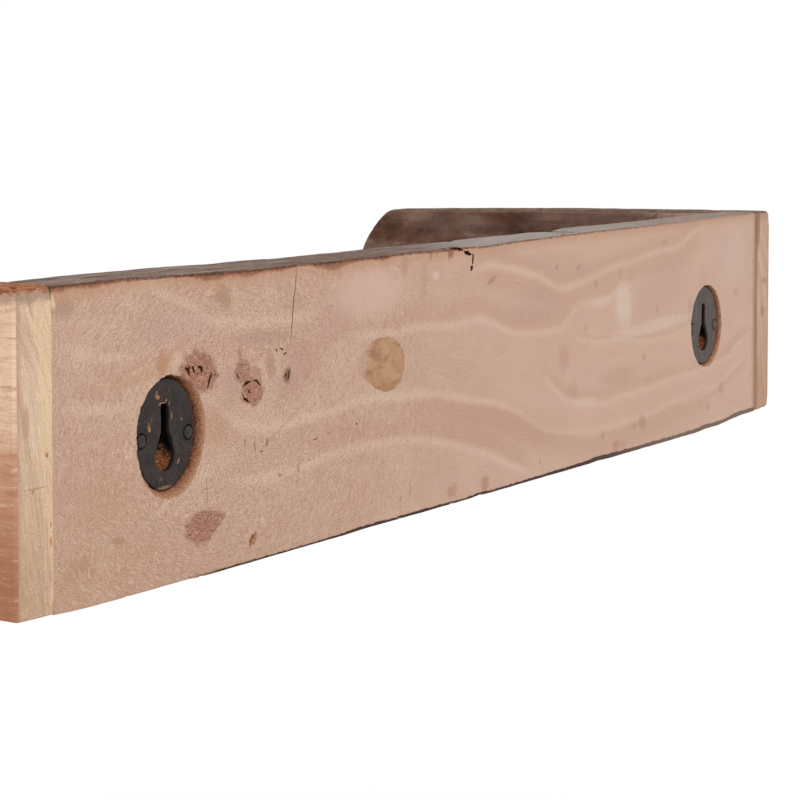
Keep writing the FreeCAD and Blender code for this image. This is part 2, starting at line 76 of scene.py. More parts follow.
def shelf_span(low, high):
    """The low and high corner of a box of the model, in shelf millimetres."""
    return (np.array([(END - high.x) / MM, (low.z - UNDERSIDE) / MM, -high.y / MM]),
            np.array([(END - low.x) / MM, (high.z - UNDERSIDE) / MM, -low.y / MM]))


def add_object(name, data):
    """Puts an object into the scene."""
    made = bpy.data.objects.new(name, data)
    bpy.context.scene.collection.objects.link(made)
    return made


def turned_to(direction):
    """The turn that points a camera or a lamp along a direction."""
    return Vector(direction).to_track_quat("-Z", "Y").to_euler()


print(f"shelf {LENGTH:.0f} x {DEPTH:.0f} x {HEIGHT:.0f} mm, boards {THICKNESS:.0f} mm thick")

# %% [markdown]
# The picture was taken with a long lens, a little above the shelf and well to one side. A long lens keeps the far
# end of the shelf nearly as tall as the near end. Upright edges stay almost upright in the picture, though it looks
# down on the shelf: the camera is held nearly level, and its lens is shifted down, as architects' cameras do.

# %% Camera
CAMERA_EYE = (0.9935, 0.5714, 0.1283)
CAMERA_LOOKS = (-0.8466, -0.5288, -0.0595)
CAMERA_LENS = 107.90
CAMERA_SHIFT = (0.0009, -0.2186)

camera = add_object("camera", bpy.data.cameras.new("camera"))
camera.data.lens = CAMERA_LENS
camera.data.shift_x, camera.data.shift_y = CAMERA_SHIFT
camera.location = CAMERA_EYE
camera.rotation_euler = turned_to(CAMERA_LOOKS)
bpy.context.scene.camera = camera
print("camera is", round((camera.location - place(LENGTH / 2, HEIGHT / 2)).length, 2), "m from the middle")

# %% [markdown]
# The boards are not quite straight any more. The back board is tallest at its right end, and its lower edge lifts
# towards both ends. These lines are short tables of a place along the shelf and a height there, and both the mesh
# and the paint follow them. The left cheek is lower than the right one for the same reason.

# %% Worn outlines
TOP_FRONT = ((0, 124.9), (64, 124.8), (88, 124.4), (114, 124.3), (124, 124.0), (141, 123.4), (169, 123.3),
             (184, 122.9), (214, 122.7), (278, 122.4), (319, 122.0), (336, 121.6), (340, 121.2), (343, 122.0),
             (368, 122.0), (396, 121.7), (418, 121.8), (426, 121.5), (434, 121.2), (439, 120.5), (445, 121.5),
             (449, 122.0), (472, 122.1), (498, 121.7), (600, 121.6), (680, 121.5))
TOP_BACK = ((0, 123.8), (70, 123.7), (85, 123.1), (101, 122.8), (120, 122.4), (141, 121.9), (167, 121.7),
            (203, 121.5), (232, 121.4), (245, 120.9), (262, 121.3), (297, 120.9), (318, 120.9), (334, 120.4),
            (373, 121.0), (414, 121.2), (458, 121.5), (505, 121.2), (555, 121.0), (608, 121.4), (680, 121.4))
PLANED_TOP = ((0, 121.6), (28, 121.0), (35, 121.8), (42, 121.1), (56, 121.9), (86, 122.0), (101, 121.1), (109, 120.1),
              (117, 118.6), (133, 119.4), (145, 118.4), (158, 119.6), (167, 119.2), (185, 120.7), (196, 118.6),
              (208, 117.2), (222, 119.0), (240, 119.4), (247, 118.8), (258, 119.9), (279, 119.8), (296, 119.2),
              (312, 119.5), (340, 119.6), (373, 120.1), (440, 120.3), (540, 120.1), (608, 120.8), (680, 120.8))
BOTTOM = ((0, 2.3), (21, 2.0), (30, 1.5), (44, 1.1), (58, 0.9), (104, 0.8), (112, 0.2), (122, 0), (210, 0), (217, 0.3),
          (237, 0.6), (257, 0.4), (300, 0.3), (321, 0), (332, 0.6), (344, 0.2), (392, 0), (444, 0), (457, 0.6),
          (471, 0.3), (500, 0), (575, 0.2), (592, 1.0), (608, 0.9), (625, 2.2), (642, 3.1), (680, 3.4))
LEFT_SINK = 3.3
print("the back board narrows from", TOP_FRONT[0][1], "to", TOP_FRONT[-1][1], "mm")

# %% [markdown]
# Materials are graphs of small nodes, and most of the nodes are sums. A small class lets Python's own signs stand
# for them: where `a` and `b` are outputs of nodes, `a * b + 1` adds two nodes and wires them up. An output is a
# number, a colour or an arrow of three numbers.

# %% Sums of node outputs
class Value:
    """An output of a node that can be reckoned with."""
    def __init__(self, socket):
        self.socket, self.tree = socket, socket.id_data

    def __add__(self, other): return math_node("ADD", self, other)
    def __radd__(self, other): return math_node("ADD", other, self)
    def __sub__(self, other): return math_node("SUBTRACT", self, other)
    def __rsub__(self, other): return math_node("SUBTRACT", other, self)
    def __mul__(self, other): return product(self, other)
    def __rmul__(self, other): return product(other, self)
    def __truediv__(self, other): return math_node("DIVIDE", self, other)
    def __abs__(self): return math_node("ABSOLUTE", self)


def tree_of(*terms):
    return next(term.tree for term in terms if isinstance(term, Value))


def is_arrow(term):
    return isinstance(term, tuple) or isinstance(term, Value) and term.socket.type == "VECTOR"


def fill(made, inputs):
    """Gives each input of a node a plain value, or the output of another node."""
    for name, given in inputs.items():
        given = getattr(given, "socket", given)
        if isinstance(given, bpy.types.NodeSocket):
            made.id_data.links.new(given, made.inputs[name])
        else:
            made.inputs[name].default_value = given


def node(tree, kind, inputs=(), **settings):
    """Adds one node to a tree."""
    made = tree.nodes.new(kind)
    for name, setting in settings.items():
        setattr(made, name, setting)
    fill(made, dict(inputs))
    return made


def value(tree, kind, inputs=(), output=0, **settings):
    """Adds one node, and returns one of its outputs."""
    return Value(node(tree, kind, inputs, **settings).outputs[output])


print("nodes can be added and filled")

# %% [markdown]
# Blender has one kind of node for sums of numbers and another for sums of arrows. These helpers pick the right
# one, so that the recipes below don't have to say which they mean.

# %% Sums of numbers and of arrows
def math_node(operation, *terms, output=0):
    kind = "ShaderNodeVectorMath" if any(map(is_arrow, terms)) else "ShaderNodeMath"
    return value(tree_of(*terms), kind, dict(enumerate(terms)), output, operation=operation)


def product(first, second):
    if is_arrow(first) == is_arrow(second):
        return math_node("MULTIPLY", first, second)
    arrow, share = (first, second) if is_arrow(first) else (second, first)
    return value(tree_of(first, second), "ShaderNodeVectorMath", {0: arrow, 3: share}, operation="SCALE")


def highest(*values):
    top = values[0]
    for other in values[1:]:
        top = math_node("MAXIMUM", top, other)
    return top


def length(arrow):
    return math_node("LENGTH", arrow, output="Value")


def parts_of(arrow):
    return [Value(part) for part in node(arrow.tree, "ShaderNodeSeparateXYZ", {0: arrow}).outputs]


def arrow_of(*parts):
    return value(tree_of(*parts), "ShaderNodeCombineXYZ", dict(enumerate(parts)))


print("outputs of nodes can be added, multiplied and compared")

# %% [markdown]
# On top of the sums come the few steps that painting wood needs: a smooth step, noise, a colour ramp, and a mix of
# two colours.

# %% Helpers for fades, noise and colours
def fade(amount, start, end, low=0.0, high=1.0):
    """A smooth step: low where the amount is at start, high where it is at end."""
    return value(amount.tree, "ShaderNodeMapRange", {0: amount, 1: start, 2: end, 3: low, 4: high},
                 interpolation_type="SMOOTHSTEP")


def noise_of(at, detail=3.0, roughness=0.55, wobble=0.0):
    return value(at.tree, "ShaderNodeTexNoise", {"Vector": at, "Scale": 1.0, "Detail": detail, "Roughness": roughness,
                                                 "Distortion": wobble})


def mottle(at, stretch, detail=3.0, roughness=0.55, wobble=0.0, seed=0.0):
    """Noise between 0 and 1. The stretch is how many spots there are per millimetre along each axis."""
    return noise_of(at * stretch + (seed * 3.7, seed * 1.3, seed * 2.1), detail, roughness, wobble)


def paint(red, green, blue):
    """A colour as it shows on a screen, 0 to 255, turned into the linear colour that a shader wants."""
    def linear(level):
        level = level / 255
        return level / 12.92 if level <= 0.04045 else ((level + 0.055) / 1.055) ** 2.4
    return (linear(red), linear(green), linear(blue), 1.0)


def mixed(factor, below, above):
    """A mix of two colours, or of two numbers."""
    number = isinstance(below, Value) and below.socket.type == "VALUE"
    kind, first = ("FLOAT", 2) if number else ("RGBA", 6)
    return value(tree_of(factor, below, above), "ShaderNodeMix", {0: factor, first: below, first + 1: above},
                 0 if number else 2, data_type=kind)


def tones(amount, *stops):
    """A colour ramp: each stop is a position and the red, green and blue of a painted colour."""
    made = node(amount.tree, "ShaderNodeValToRGB", {0: amount})
    ramp = made.color_ramp
    ramp.elements[0].position = stops[0][0]
    ramp.elements[1].position = stops[-1][0]
    for position, *_ in stops[1:-1]:
        ramp.elements.new(position)
    for element, (_, *colour) in zip(ramp.elements, stops):
        element.color = paint(*colour)
    return Value(made.outputs[0])


def coated(colour, *coats):
    """Lays thin coats on a colour. Each is an amount, where it starts and ends, its strength, red, green and blue."""
    for amount, start, end, strength, *tint in coats:
        colour = mixed(fade(amount, start, end, 0.0, strength), colour, paint(*tint))
    return colour


print("helpers for fades, noise and colours are ready")

# %% [markdown]
# Groups and materials are made by helpers too, so that each one below is only its recipe.

# %% Helpers for groups and materials
def new_group(name, outputs, **inputs):
    """A shader node group with the named outputs and inputs. Returns its tree, and its inputs as values."""
    tree = bpy.data.node_groups.new(name, "ShaderNodeTree")
    for socket, given in inputs.items():
        kind = "Vector" if isinstance(given, tuple) else "Float"
        tree.interface.new_socket(socket, in_out="INPUT", socket_type="NodeSocket" + kind).default_value = given
    for socket in outputs.split():
        kind = {"Place": "Vector", "Color": "Color"}.get(socket, "Float")
        tree.interface.new_socket(socket, in_out="OUTPUT", socket_type="NodeSocket" + kind)
    return tree, inputs_of(tree)


def inputs_of(tree):
    return {socket.name: Value(socket) for socket in tree.nodes.new("NodeGroupInput").outputs if socket.name}


def end_group(tree, **outputs):
    """Wires the results of a group to its outputs."""
    node(tree, "NodeGroupOutput", outputs)
    return tree


def use_group(group, tree=None, **inputs):
    made = node(tree or tree_of(*inputs.values()), "ShaderNodeGroup", node_tree=group)
    fill(made, inputs)
    return {socket.name: Value(socket) for socket in made.outputs}


def new_material(name, shine=0.2):
    """The shine is how much a surface mirrors: bare wood hardly does, iron does. Also returns the shelf's place."""
    material = bpy.data.materials.new(name)
    material.use_nodes = True
    tree = material.node_tree
    tree.nodes.clear()
    shader = node(tree, "ShaderNodeBsdfPrincipled", {"Specular IOR Level": shine})
    node(tree, "ShaderNodeOutputMaterial", {"Surface": shader.outputs[0]})
    return material, use_group(shelf_place, tree)


def feed(material, colour, roughness, height, depth=MM, metal=0.0):
    """Wires the finished colour, roughness and fine relief into the shader."""
    tree = material.node_tree
    bump = value(tree, "ShaderNodeBump", {"Height": height, "Distance": depth})
    fill(tree.nodes["Principled BSDF"], {"Base Color": colour, "Roughness": roughness, "Normal": bump,
                                         "Metallic": metal})
    return material


print("helpers for groups and materials are ready")

# %% [markdown]
# The first node group turns Blender's object coordinates into the shelf's own three values, in millimetres. The
# second is a ragged spot: stains, knots and bruises are all spots of some size, turned and torn at the rim.

# %% Groups: shelf place, spot
def make_place_group():
    tree, _ = new_group("Shelf place", "Place Along Up Deep")
    here = value(tree, "ShaderNodeTexCoord", output="Object")
    along, deep, up = parts_of(((END, 0, UNDERSIDE) - here) * (1 / MM, 1 / MM, -1 / MM))
    return end_group(tree, Place=arrow_of(along, up, deep), Along=along, Up=up, Deep=deep)


def make_spot_group():
    tree, ins = new_group("Ragged spot", "Mask Distance", Place=(0, 0, 0), Centre=(0, 0, 0), Size=(1, 1, 1), Turn=0.0,
                          Noise=0.5, Ragged=0.3, Soft=0.3)
    turned = value(tree, "ShaderNodeVectorRotate", {"Vector": ins["Place"] - ins["Centre"], "Angle": ins["Turn"]},
                   rotation_type="Z_AXIS")
    torn = (ins["Noise"] - 0.5) * ins["Ragged"] + length(turned / ins["Size"] * (1, 1, 0))
    return end_group(tree, Mask=fade(torn, 1.0 - ins["Soft"], 1.0 + ins["Soft"], 1.0, 0.0), Distance=torn)


shelf_place = make_place_group()
ragged_spot = make_spot_group()


def spot_at(at, noise, ragged, soft, along, up, half_long, half_tall, turn=0.0):
    return use_group(ragged_spot, Place=at, Centre=(along, up, 0), Size=(half_long, half_tall, 1),
                     Turn=math.radians(turn), Noise=noise, Ragged=ragged, Soft=soft)


def spotted(colour, at, noise, ragged, soft, rows):
    """Paints the spots of a table on a colour."""
    for *shape, strength, red, green, blue in rows:
        spot = spot_at(at, noise, ragged, soft, *shape)
        colour = mixed(spot["Mask"] * strength, colour, paint(red, green, blue))
    return colour


print("groups:", shelf_place.name, "and", ragged_spot.name)

# %% [markdown]
# The wood is a pale, dense hardwood. Far from the knots its fibres run along the board, and near them they swirl
# round, which shows as short strokes that follow circles. So the fibres are noise that is stretched along the
# circles near the knots, and along the board elsewhere. Pores are the same noise, finer and with a hard edge.

# %% Group: swirling fibres
SWIRL_CENTRE = (128.4, 67.3, 0.0)
SWIRL_REACH = (85, 195)
KNOT_REACH = (30, 85)


def make_fibre_group():
    tree, ins = new_group("Swirling fibres", "Fibre Speckle Near Knotty", Place=(0, 0, 0))
    at = ins["Place"]
    away = (at - SWIRL_CENTRE) * (0.8, 1.0, 0.0)
    radius = length(away)
    circle = mottle(at, (0.02, 0.03, 0.02), 2) * 30.0 + radius
    sideways, upwards, _ = parts_of(math_node("NORMALIZE", away) * 20.0)
    swirl = noise_of(arrow_of(sideways, upwards, circle * 1.5), 3, 0.7)
    straight = mottle(at, (0.16, 1.5, 1.5), wobble=0.4, seed=4)
    near = fade(radius, SWIRL_REACH[1], SWIRL_REACH[0])
    return end_group(tree, Fibre=mixed(near, straight, swirl), Speckle=mottle(at, (1.2, 2, 2), 2, 0.65, 0.6, 9),
                     Near=near, Knotty=fade(radius, KNOT_REACH[1], KNOT_REACH[0]))


swirling_fibres = make_fibre_group()
print("group:", swirling_fibres.name)

# %% [markdown]
# Sawing a trunk lengthways shows its yearly rings as long pale waves. Each wave on this board is drawn by a short
# list of places that it passes through, and a Float Curve node turns the list into a smooth line. The wood is
# paler on the line, and darker on one side of it: the first two values say how far above it and below it.

# %% Group: one wave of the figure
FIGURE_WAVES = (
    (11, 17, ((322, 104), (336, 109.7), (347, 109.9), (361, 108.5), (377, 105), (389, 102.2), (402, 98.3), (412, 95),
              (425, 94.1), (439, 95.7), (454, 98.2), (472, 100.7), (493, 102), (510, 104.2), (533, 106.6),
              (553, 107.7), (568, 112.4), (590, 118))),
    (16, 0, ((215, 87), (237, 86.4), (262, 85.9), (284, 86.3), (315, 84.6), (332, 85.5), (347, 82.8), (359, 77.9),
             (373, 74.7), (394, 73.3), (413, 73.7), (423, 77.4), (430, 81.9), (439, 84.3), (454, 83.6), (470, 85),
             (482, 88.4), (510, 91))),
    (0, 19, ((108, 75), (121, 68.4), (131, 61.9), (145, 56.5), (160, 53.5), (182, 55), (205, 55.8), (229, 57.4),
             (262, 56.4), (302, 52.4), (329, 46.9), (354, 42.3), (366, 38), (382, 32.1), (394, 26.6), (409, 22.2),
             (428, 19.3), (448, 16.8), (469, 16.4), (488, 17.3), (507, 17.7), (539, 20), (560, 22.2), (600, 24))),
    (15, 0, ((125, 37), (145, 34.5), (182, 34.9), (205, 37), (237, 37.3), (270, 35.2), (302, 28.9), (334, 21.3),
             (364, 11.1), (390, 3))),
    (10, 0, ((392, 57), (400, 50.1), (411, 42.9), (422, 36.6), (435, 33.5), (450, 31.2), (469, 30.2), (483, 31.3),
             (502, 31.9), (521, 33), (544, 33.9), (570, 34.6), (591, 35.8), (618, 38.9), (638, 46.4), (659, 50))),
    (0, 6, ((520, 19.5), (532, 20.3), (552, 20.8), (583, 20.6), (608, 24.9), (621, 29.2), (638, 34.6), (655, 39))),
    (0, 0, ((68, 124), (75, 121), (90, 115.2), (100, 111.6), (110, 107.7), (123, 101.8), (134, 100.9), (163, 99.2),
            (200, 98.5))),
    (0, 0, ((20, 102), (38, 97.3), (53, 94.4), (68, 92.9), (80, 92))),
    (0, 0, ((20, 81), (41, 75.6), (58, 73.6), (72, 73.4))),
    (4, 0, ((420, 78), (428, 74), (434, 67.1), (443, 64.8), (482, 61.8), (518, 58.6), (546, 58.8), (564, 61),
            (600, 66))),
)
WAVE_WIDTH = 4


def curve_of(along, points, scale=HEIGHT):
    """A height that follows the board's length, through the given places."""
    curve = node(along.tree, "ShaderNodeFloatCurve", {"Value": along / LENGTH})
    line = curve.mapping.curves[0]
    places = [(where / LENGTH, height / scale) for where, height in points]
    line.points[0].location, line.points[1].location = places[0], places[-1]
    for where, height in places[1:-1]:
        line.points.new(where, height)
    curve.mapping.update()
    return Value(curve.outputs[0]) * scale


def add_wave(along, up, drift, reach_above, reach_below, points):
    """How pale one wave is, and how dark the wood beside it is, at a place on the board."""
    above = up - (curve_of(along, points) + drift)
    start, end = points[0][0], points[-1][0]
    window = fade(along, start, start + 20) * fade(along, end, end - 20)
    shadow = 0.0
    for reach, near in ((reach_above, 2.4), (-reach_below, -2.4)):
        if reach:
            shadow = highest(fade(above, reach, reach * 0.45) * fade(above, 0, near), shadow)
    return fade(abs(above), WAVE_WIDTH, 0) * window, shadow * window


def make_figure_group():
    tree, ins = new_group("Figure of the back board", "Pale Dark", Place=(0, 0, 0))
    along, up, _ = parts_of(ins["Place"])
    drift = mottle(ins["Place"], (0.03, 0.05, 0)) * 3.0 - 1.5
    crests, shadows = zip(*[add_wave(along, up, drift, *wave) for wave in FIGURE_WAVES])
    return end_group(tree, Pale=highest(*crests), Dark=highest(*shadows))


board_figure = make_figure_group()
print("group:", board_figure.name, "with", len(FIGURE_WAVES), "waves")

# %% [markdown]
# The faces that were never planed are the old surface: brown, blotched and greyed by dust, with dark open grain.
# This skin is one group, used by all four boards, with the way that the grain runs as an input.

# %% Group: old skin
def make_skin_group():
    tree, ins = new_group("Old skin", "Color Roughness Height", Place=(0, 0, 0), Grain=(0.02, 0.8, 0.8), Dust=0.4,
                          Seed=0.0, Blotch=(0.035, 0.05, 0.035))
    at = ins["Place"] + ins["Seed"] * (17, 5, 11)
    broad, grain_at = at * ins["Blotch"], at * ins["Grain"]
    cloud = mottle(broad, (2.5, 2.2, 2.5), wobble=0.3, seed=3)
    grain, fine = noise_of(grain_at, 4, 0.65, 0.5), noise_of(grain_at * 3.1, 3, 0.7)
    colour = tones(mottle(broad, (1, 1, 1), 4, 0.6, 0.6), (0.36, 66, 40, 28), (0.46, 98, 66, 51), (0.55, 122, 90, 75),
                   (0.66, 148, 118, 102))
    colour = coated(colour, (grain, 0.42, 0.62, 0.28, 66, 40, 29),
                    (mottle(at, (0.06, 0.12, 0.06), 2, 0.5, seed=7), 0.66, 0.76, 0.55, 134, 84, 54))
    colour = mixed(fade(cloud, 0.42, 0.7) * ins["Dust"], colour, paint(139, 121, 109))
    colour = coated(colour, (mottle(at, (0.5, 0.5, 0.5), 2, 0.6, seed=5), 0.68, 0.76, 0.5, 52, 33, 26))
    return end_group(tree, Color=colour, Roughness=fade(cloud, 0.3, 0.7, 0.62, 0.86),
                     Height=fine * 0.45 + grain * 0.55)


old_skin = make_skin_group()
print("group:", old_skin.name)

# %% [markdown]
# The top edges were never planed either, but rain and sun got at them: they are silver grey, with long dark checks
# along the grain. Where the plane cut through that crust, a red-brown border is left under the edge.

# %% Group: weathered edge
def make_weathered_group():
    tree, ins = new_group("Weathered edge", "Color Height", Place=(0, 0, 0), Grain=(0.03, 1.2, 1.2), Brown=0.3)
    at = ins["Place"]
    fleck = mottle(at, (0.5, 2, 2), 3, 0.75, 0.8, 4)
    streak = (fleck - 0.5) * 0.5 + noise_of(at * ins["Grain"], 5, 0.7, 0.3)
    grey = tones(streak, (0.3, 84, 66, 57), (0.45, 134, 113, 100), (0.56, 162, 140, 126), (0.7, 200, 182, 169))
    browned = fade(mottle(at, (0.05, 0.2, 0.2), seed=2), 0.4, 0.68) * ins["Brown"]
    check = fade(mottle(at, (0.018, 0.9, 0.9), 2, 0.5, seed=6), 0.6, 0.68, 0.0, 0.8)
    colour = mixed(check, mixed(browned, grey, paint(112, 74, 55)), paint(55, 41, 36))
    return end_group(tree, Color=colour, Height=streak - check * 0.7)


weathered_edge = make_weathered_group()
print("group:", weathered_edge.name)

# %% [markdown]
# A knot is the foot of a branch that the trunk grew round. Planed across, it is a mauve oval with rings of its own
# and a broken dark rim. Each knot is one line of a table, and so is each stain, and so is the painted shade along the
# seam by the left cheek.

# %% Tables of knots and stains
KNOTS = (
    # along, up, half length, half height, turn in degrees, strength
    (110.6, 83, 11.6, 7.9, 12, 1), (114, 80.4, 7.4, 5.6, 0, 0.7), (140.6, 79.6, 5.6, 5.4, 40, 0.9),
    (147, 71.2, 7.8, 5.8, 10, 1), (149.8, 77.6, 4.4, 3.2, 40, 0.6), (111.6, 20.1, 9.8, 6.6, 0, 1),
    (120, 21.6, 7, 3.6, -12, 0.9),
)
STAINS_AND_SEAM_SHADE = (
    # along, up, half length, half height, turn, strength, red, green, blue
    (127.3, 111.8, 6, 4.4, 35, 0.5, 158, 120, 86), (94, 91.6, 10, 1.8, -26, 0.45, 184, 136, 98),
    (86.4, 88.4, 3, 5, 0, 0.6, 180, 130, 92), (64, 83.4, 22, 2.4, -5, 0.35, 186, 142, 108),
    (67, 88, 12, 1.2, -18, 0.3, 186, 142, 112), (96.4, 89.4, 3.4, 3.4, 0, 0.45, 214, 184, 164),
    (121.6, 59, 8.5, 10, 10, 0.28, 180, 132, 98), (40, 42, 30, 12, 0, 0.22, 182, 138, 112),
    (34, 16.6, 10, 3.4, -12, 0.24, 168, 126, 98), (26.8, 115.5, 7, 4, 0, 0.45, 164, 130, 106),
    (96, 103, 24, 7, 0, 0.2, 184, 154, 142), (132.9, 76.5, 5.5, 6.5, 0, 0.35, 176, 138, 124),
    (156, 92.2, 21, 3.2, 3, 0.4, 172, 134, 118), (160.4, 80.4, 3.4, 6, -14, 0.48, 160, 118, 100),
    (181, 78, 13, 11, 0, 0.42, 178, 134, 122), (172.4, 70, 8, 4.5, 0, 0.3, 176, 134, 120),
    (172.3, 75.2, 2.4, 3.2, 20, 0.9, 112, 82, 58), (236, 105, 26, 11, 0, 0.7, 210, 177, 160),
    (138.5, 86.6, 1.6, 3.4, -10, 0.6, 158, 124, 84), (207.2, 91.8, 13, 6, -20, 0.3, 184, 143, 130),
    (170, 54.6, 17, 0.7, -27, 0.24, 150, 108, 84), (200, 46, 40, 5, 0, 0.2, 180, 138, 118),
    (58.6, 23.3, 4, 1.2, 5, 0.45, 150, 106, 82), (141.8, 50.7, 0.6, 1.8, 10, 0.6, 140, 98, 78),
    (148.8, 47.8, 0.7, 2, -10, 0.65, 134, 92, 72), (157.4, 48.7, 0.7, 2, 0, 0.65, 134, 92, 72),
    (166.8, 33.6, 1.8, 0.7, 20, 0.6, 140, 98, 78), (180.2, 34.7, 0.7, 2, -20, 0.6, 140, 98, 78),
    (204, 46.6, 1.6, 0.5, 10, 0.5, 144, 102, 80), (509.2, 14.7, 4.6, 3.6, 10, 0.39, 150, 120, 98),
    (499.5, 13.7, 3.4, 1.8, 0, 0.3, 156, 124, 102), (463.1, 12.9, 1.8, 2.2, 0, 0.33, 148, 112, 92),
    (478.3, 5.6, 4.6, 3.2, 0, 0.33, 152, 98, 78), (308.2, 6.3, 4.6, 3.6, 0, 0.5, 172, 122, 102),
    (339.2, 5.3, 3.6, 4, 0, 0.55, 164, 112, 92), (419.3, 58.3, 6, 7, 10, 0.45, 188, 138, 122),
    (482.5, 42.5, 22, 4.5, 0, 0.35, 184, 144, 122), (429.3, 40.8, 6, 4, 0, 0.25, 176, 134, 116),
    (383.4, 88, 30, 9, 0, 0.3, 184, 144, 130), (360, 30, 60, 9, 8, 0.25, 184, 142, 118),
    (486.6, 79.6, 9, 11.5, -14, 0.5, 222, 200, 186), (520, 65.8, 42, 3.2, -2, 0.5, 220, 194, 176),
    (461, 84, 12, 2.6, 0, 0.4, 218, 190, 170), (443.4, 33.2, 12, 2.6, 0, 0.35, 222, 194, 172),
    (530.4, 84.8, 32, 13, -20, 0.35, 192, 156, 144), (587, 88, 5, 6, 10, 0.14, 172, 128, 104),
    (414.6, 107, 36, 5.5, 8, 0.3, 186, 146, 130), (630, 100, 14, 16, 0, 0.3, 206, 182, 174),
    (569, 73, 3, 4.5, 0, 0.27, 160, 128, 108), (631.7, 76.2, 4, 2.2, -20, 0.3, 164, 132, 112),
    (511.1, 49.9, 2.4, 1.8, 0, 0.33, 158, 122, 100), (611.8, 22.1, 3.4, 3.4, 0, 0.33, 158, 126, 104),
    (594.1, 13.7, 3, 2.6, 0, 0.27, 162, 130, 110), (443.3, 71.5, 2.4, 1.4, -30, 0.27, 164, 128, 108),
    (345.4, 103.2, 4.2, 1.1, -20, 0.55, 152, 116, 96), (454.2, 93.6, 2.6, 1.8, 0, 0.3, 160, 124, 106),
    (435.2, 103.7, 2, 1.2, -20, 0.33, 150, 112, 94), (411.4, 105.2, 1.8, 1.2, 0, 0.45, 156, 118, 100),
    (535, 110.3, 4, 1.8, -10, 0.3, 164, 132, 110), (481.8, 96.9, 2.6, 3, 0, 0.21, 164, 132, 112),
    (489.8, 27.8, 2.2, 1.8, 0, 0.21, 170, 134, 114), (526.8, 74.1, 2, 2.4, 0, 0.24, 160, 124, 106),
    (487.3, 4.8, 4, 3.6, 0, 0.24, 178, 128, 110), (270.4, 11.6, 0.7, 4, 4, 0.5, 160, 124, 100),
    (262.5, 9.6, 1.2, 1, 0, 0.5, 158, 118, 98), (372.3, 99.4, 5, 0.8, 14, 0.3, 172, 134, 112),
    (306.8, 119, 2.6, 2.6, 0, 0.9, 74, 48, 38), (288.8, 119, 1, 2.6, 0, 0.6, 128, 76, 58),
    (294.6, 120, 0.8, 2, 0, 0.6, 110, 66, 50), (248.4, 118.6, 4.5, 2.6, 0, 0.4, 184, 128, 80),
    (394.8, 8.4, 1.2, 1.4, 0, 0.5, 160, 122, 100), (293.3, 109, 3, 1.8, 10, 0.6, 222, 192, 180),
    (283, 108, 2.6, 9, 4, 0.35, 176, 148, 122), (266, 115, 3, 5, 0, 0.4, 176, 132, 96),
    # the last row, at 660 along, is painted shade on the board's end along the seam with the left cheek
    (21.6, 118, 1, 2.6, -18, 0.8, 238, 214, 178), (660, 62, 4.4, 90, 0, 0.5, 150, 108, 84),
)


print("tables:", len(KNOTS), "knots and", len(STAINS_AND_SEAM_SHADE), "stains")

# %% [markdown]
# The knot's rings are a sine wave of the distance from its middle, bent by noise. Its rim is a thin band at nearly
# the full distance.

# %% Group: knot
def make_knot_group():
    tree, ins = new_group("Knot", "Mask Color", Place=(0, 0, 0), Centre=(0, 0, 0), Size=(1, 1, 1), Turn=0.0, Noise=0.5)
    spot = use_group(ragged_spot, **ins, Ragged=1.1, Soft=0.26)
    warped = mottle(ins["Place"], (0.26, 0.26, 0)) * 1.3 + spot["Distance"]
    fleck = mottle(ins["Place"], (0.7, 1.2, 0), 4, 0.75, 2.0, 8)
    flesh = tones(math_node("SINE", warped * 30.0) * 0.1 + fleck, (0.32, 98, 58, 42), (0.43, 146, 98, 76),
                  (0.55, 170, 121, 98), (0.68, 210, 168, 144))
    rim = fade(abs(spot["Distance"] - 0.92), 0.12, 0) * fade(fleck, 0.42, 0.6, 0.0, 0.7)
    return end_group(tree, Mask=spot["Mask"], Color=mixed(rim, flesh, paint(120, 72, 56)))


knot_paint = make_knot_group()
print("group:", knot_paint.name)

# %% [markdown]
# Now the back board's own material. It is built up as a restorer would read the board: first the planed face with its
# figure and fibres, then the knots and stains on it, with painted shade at the seam by the left cheek and along the
# lower edge, then the red-brown border and the grey crust of the top edge, and last the old skin of the faces that
# nobody planed. Each layer has a mask that says where it lies.

# %% Recipe: the planed face with its knots, stains and painted seam shade
def planed_colour(here):
    """Colour and fibre relief of the freshly planed face. Also used under the thin putty."""
    at, along, up, _ = here.values()
    fibres, figure = use_group(swirling_fibres, Place=at), use_group(board_figure, Place=at)
    flame = mottle(at, (0.03, 0.045, 0), 3, 0.6, 1.2, 7)
    colour = tones(mottle(at, (0.011, 0.024, 0), seed=1), (0.3, 190, 151, 126), (0.5, 197, 160, 137),
                   (0.7, 204, 170, 148))
    colour = coated(colour, (mottle(at, (0.02, 0.035, 0), 2, 0.5, 0.8, 3), 0.5, 0.66, 0.6, 197, 156, 140),
                    (flame, 0.5, 0.56, 0.3, 188, 150, 128), (flame, 0.44, 0.4, 0.3, 206, 174, 150),
                    (along, 190, 430, 0.62, 209, 176, 156))
    lively = fibres["Knotty"] * 0.16 + (fibres["Near"] * 0.4 + 0.05)
    grainy = fibres["Knotty"] * 0.1 + (fibres["Near"] * 0.38 + 0.08)
    for share, *tint in (
            (fade(up, 60, 0) * fade(along, 330, 120) * 0.6, 186, 146, 120),
            (figure["Dark"] * fade(along, 330, 520, 0.42, 0.36), 188, 146, 123),
            (figure["Pale"] * fade(along, 300, 480, 0.5, 0.3), 218, 188, 167),
            (fade(fibres["Fibre"], 0.5, 0.3) * lively, 156, 116, 92),
            (fade(fibres["Fibre"], 0.5, 0.7) * lively, 226, 198, 176),
            (fade(fibres["Speckle"], 0.5, 0.68) * grainy, 152, 112, 88),
            (fade(fibres["Speckle"], 0.5, 0.32) * grainy, 226, 200, 180)):
        colour = mixed(share, colour, paint(*tint))
    return colour, fibres["Speckle"] * 0.5 + fibres["Fibre"]


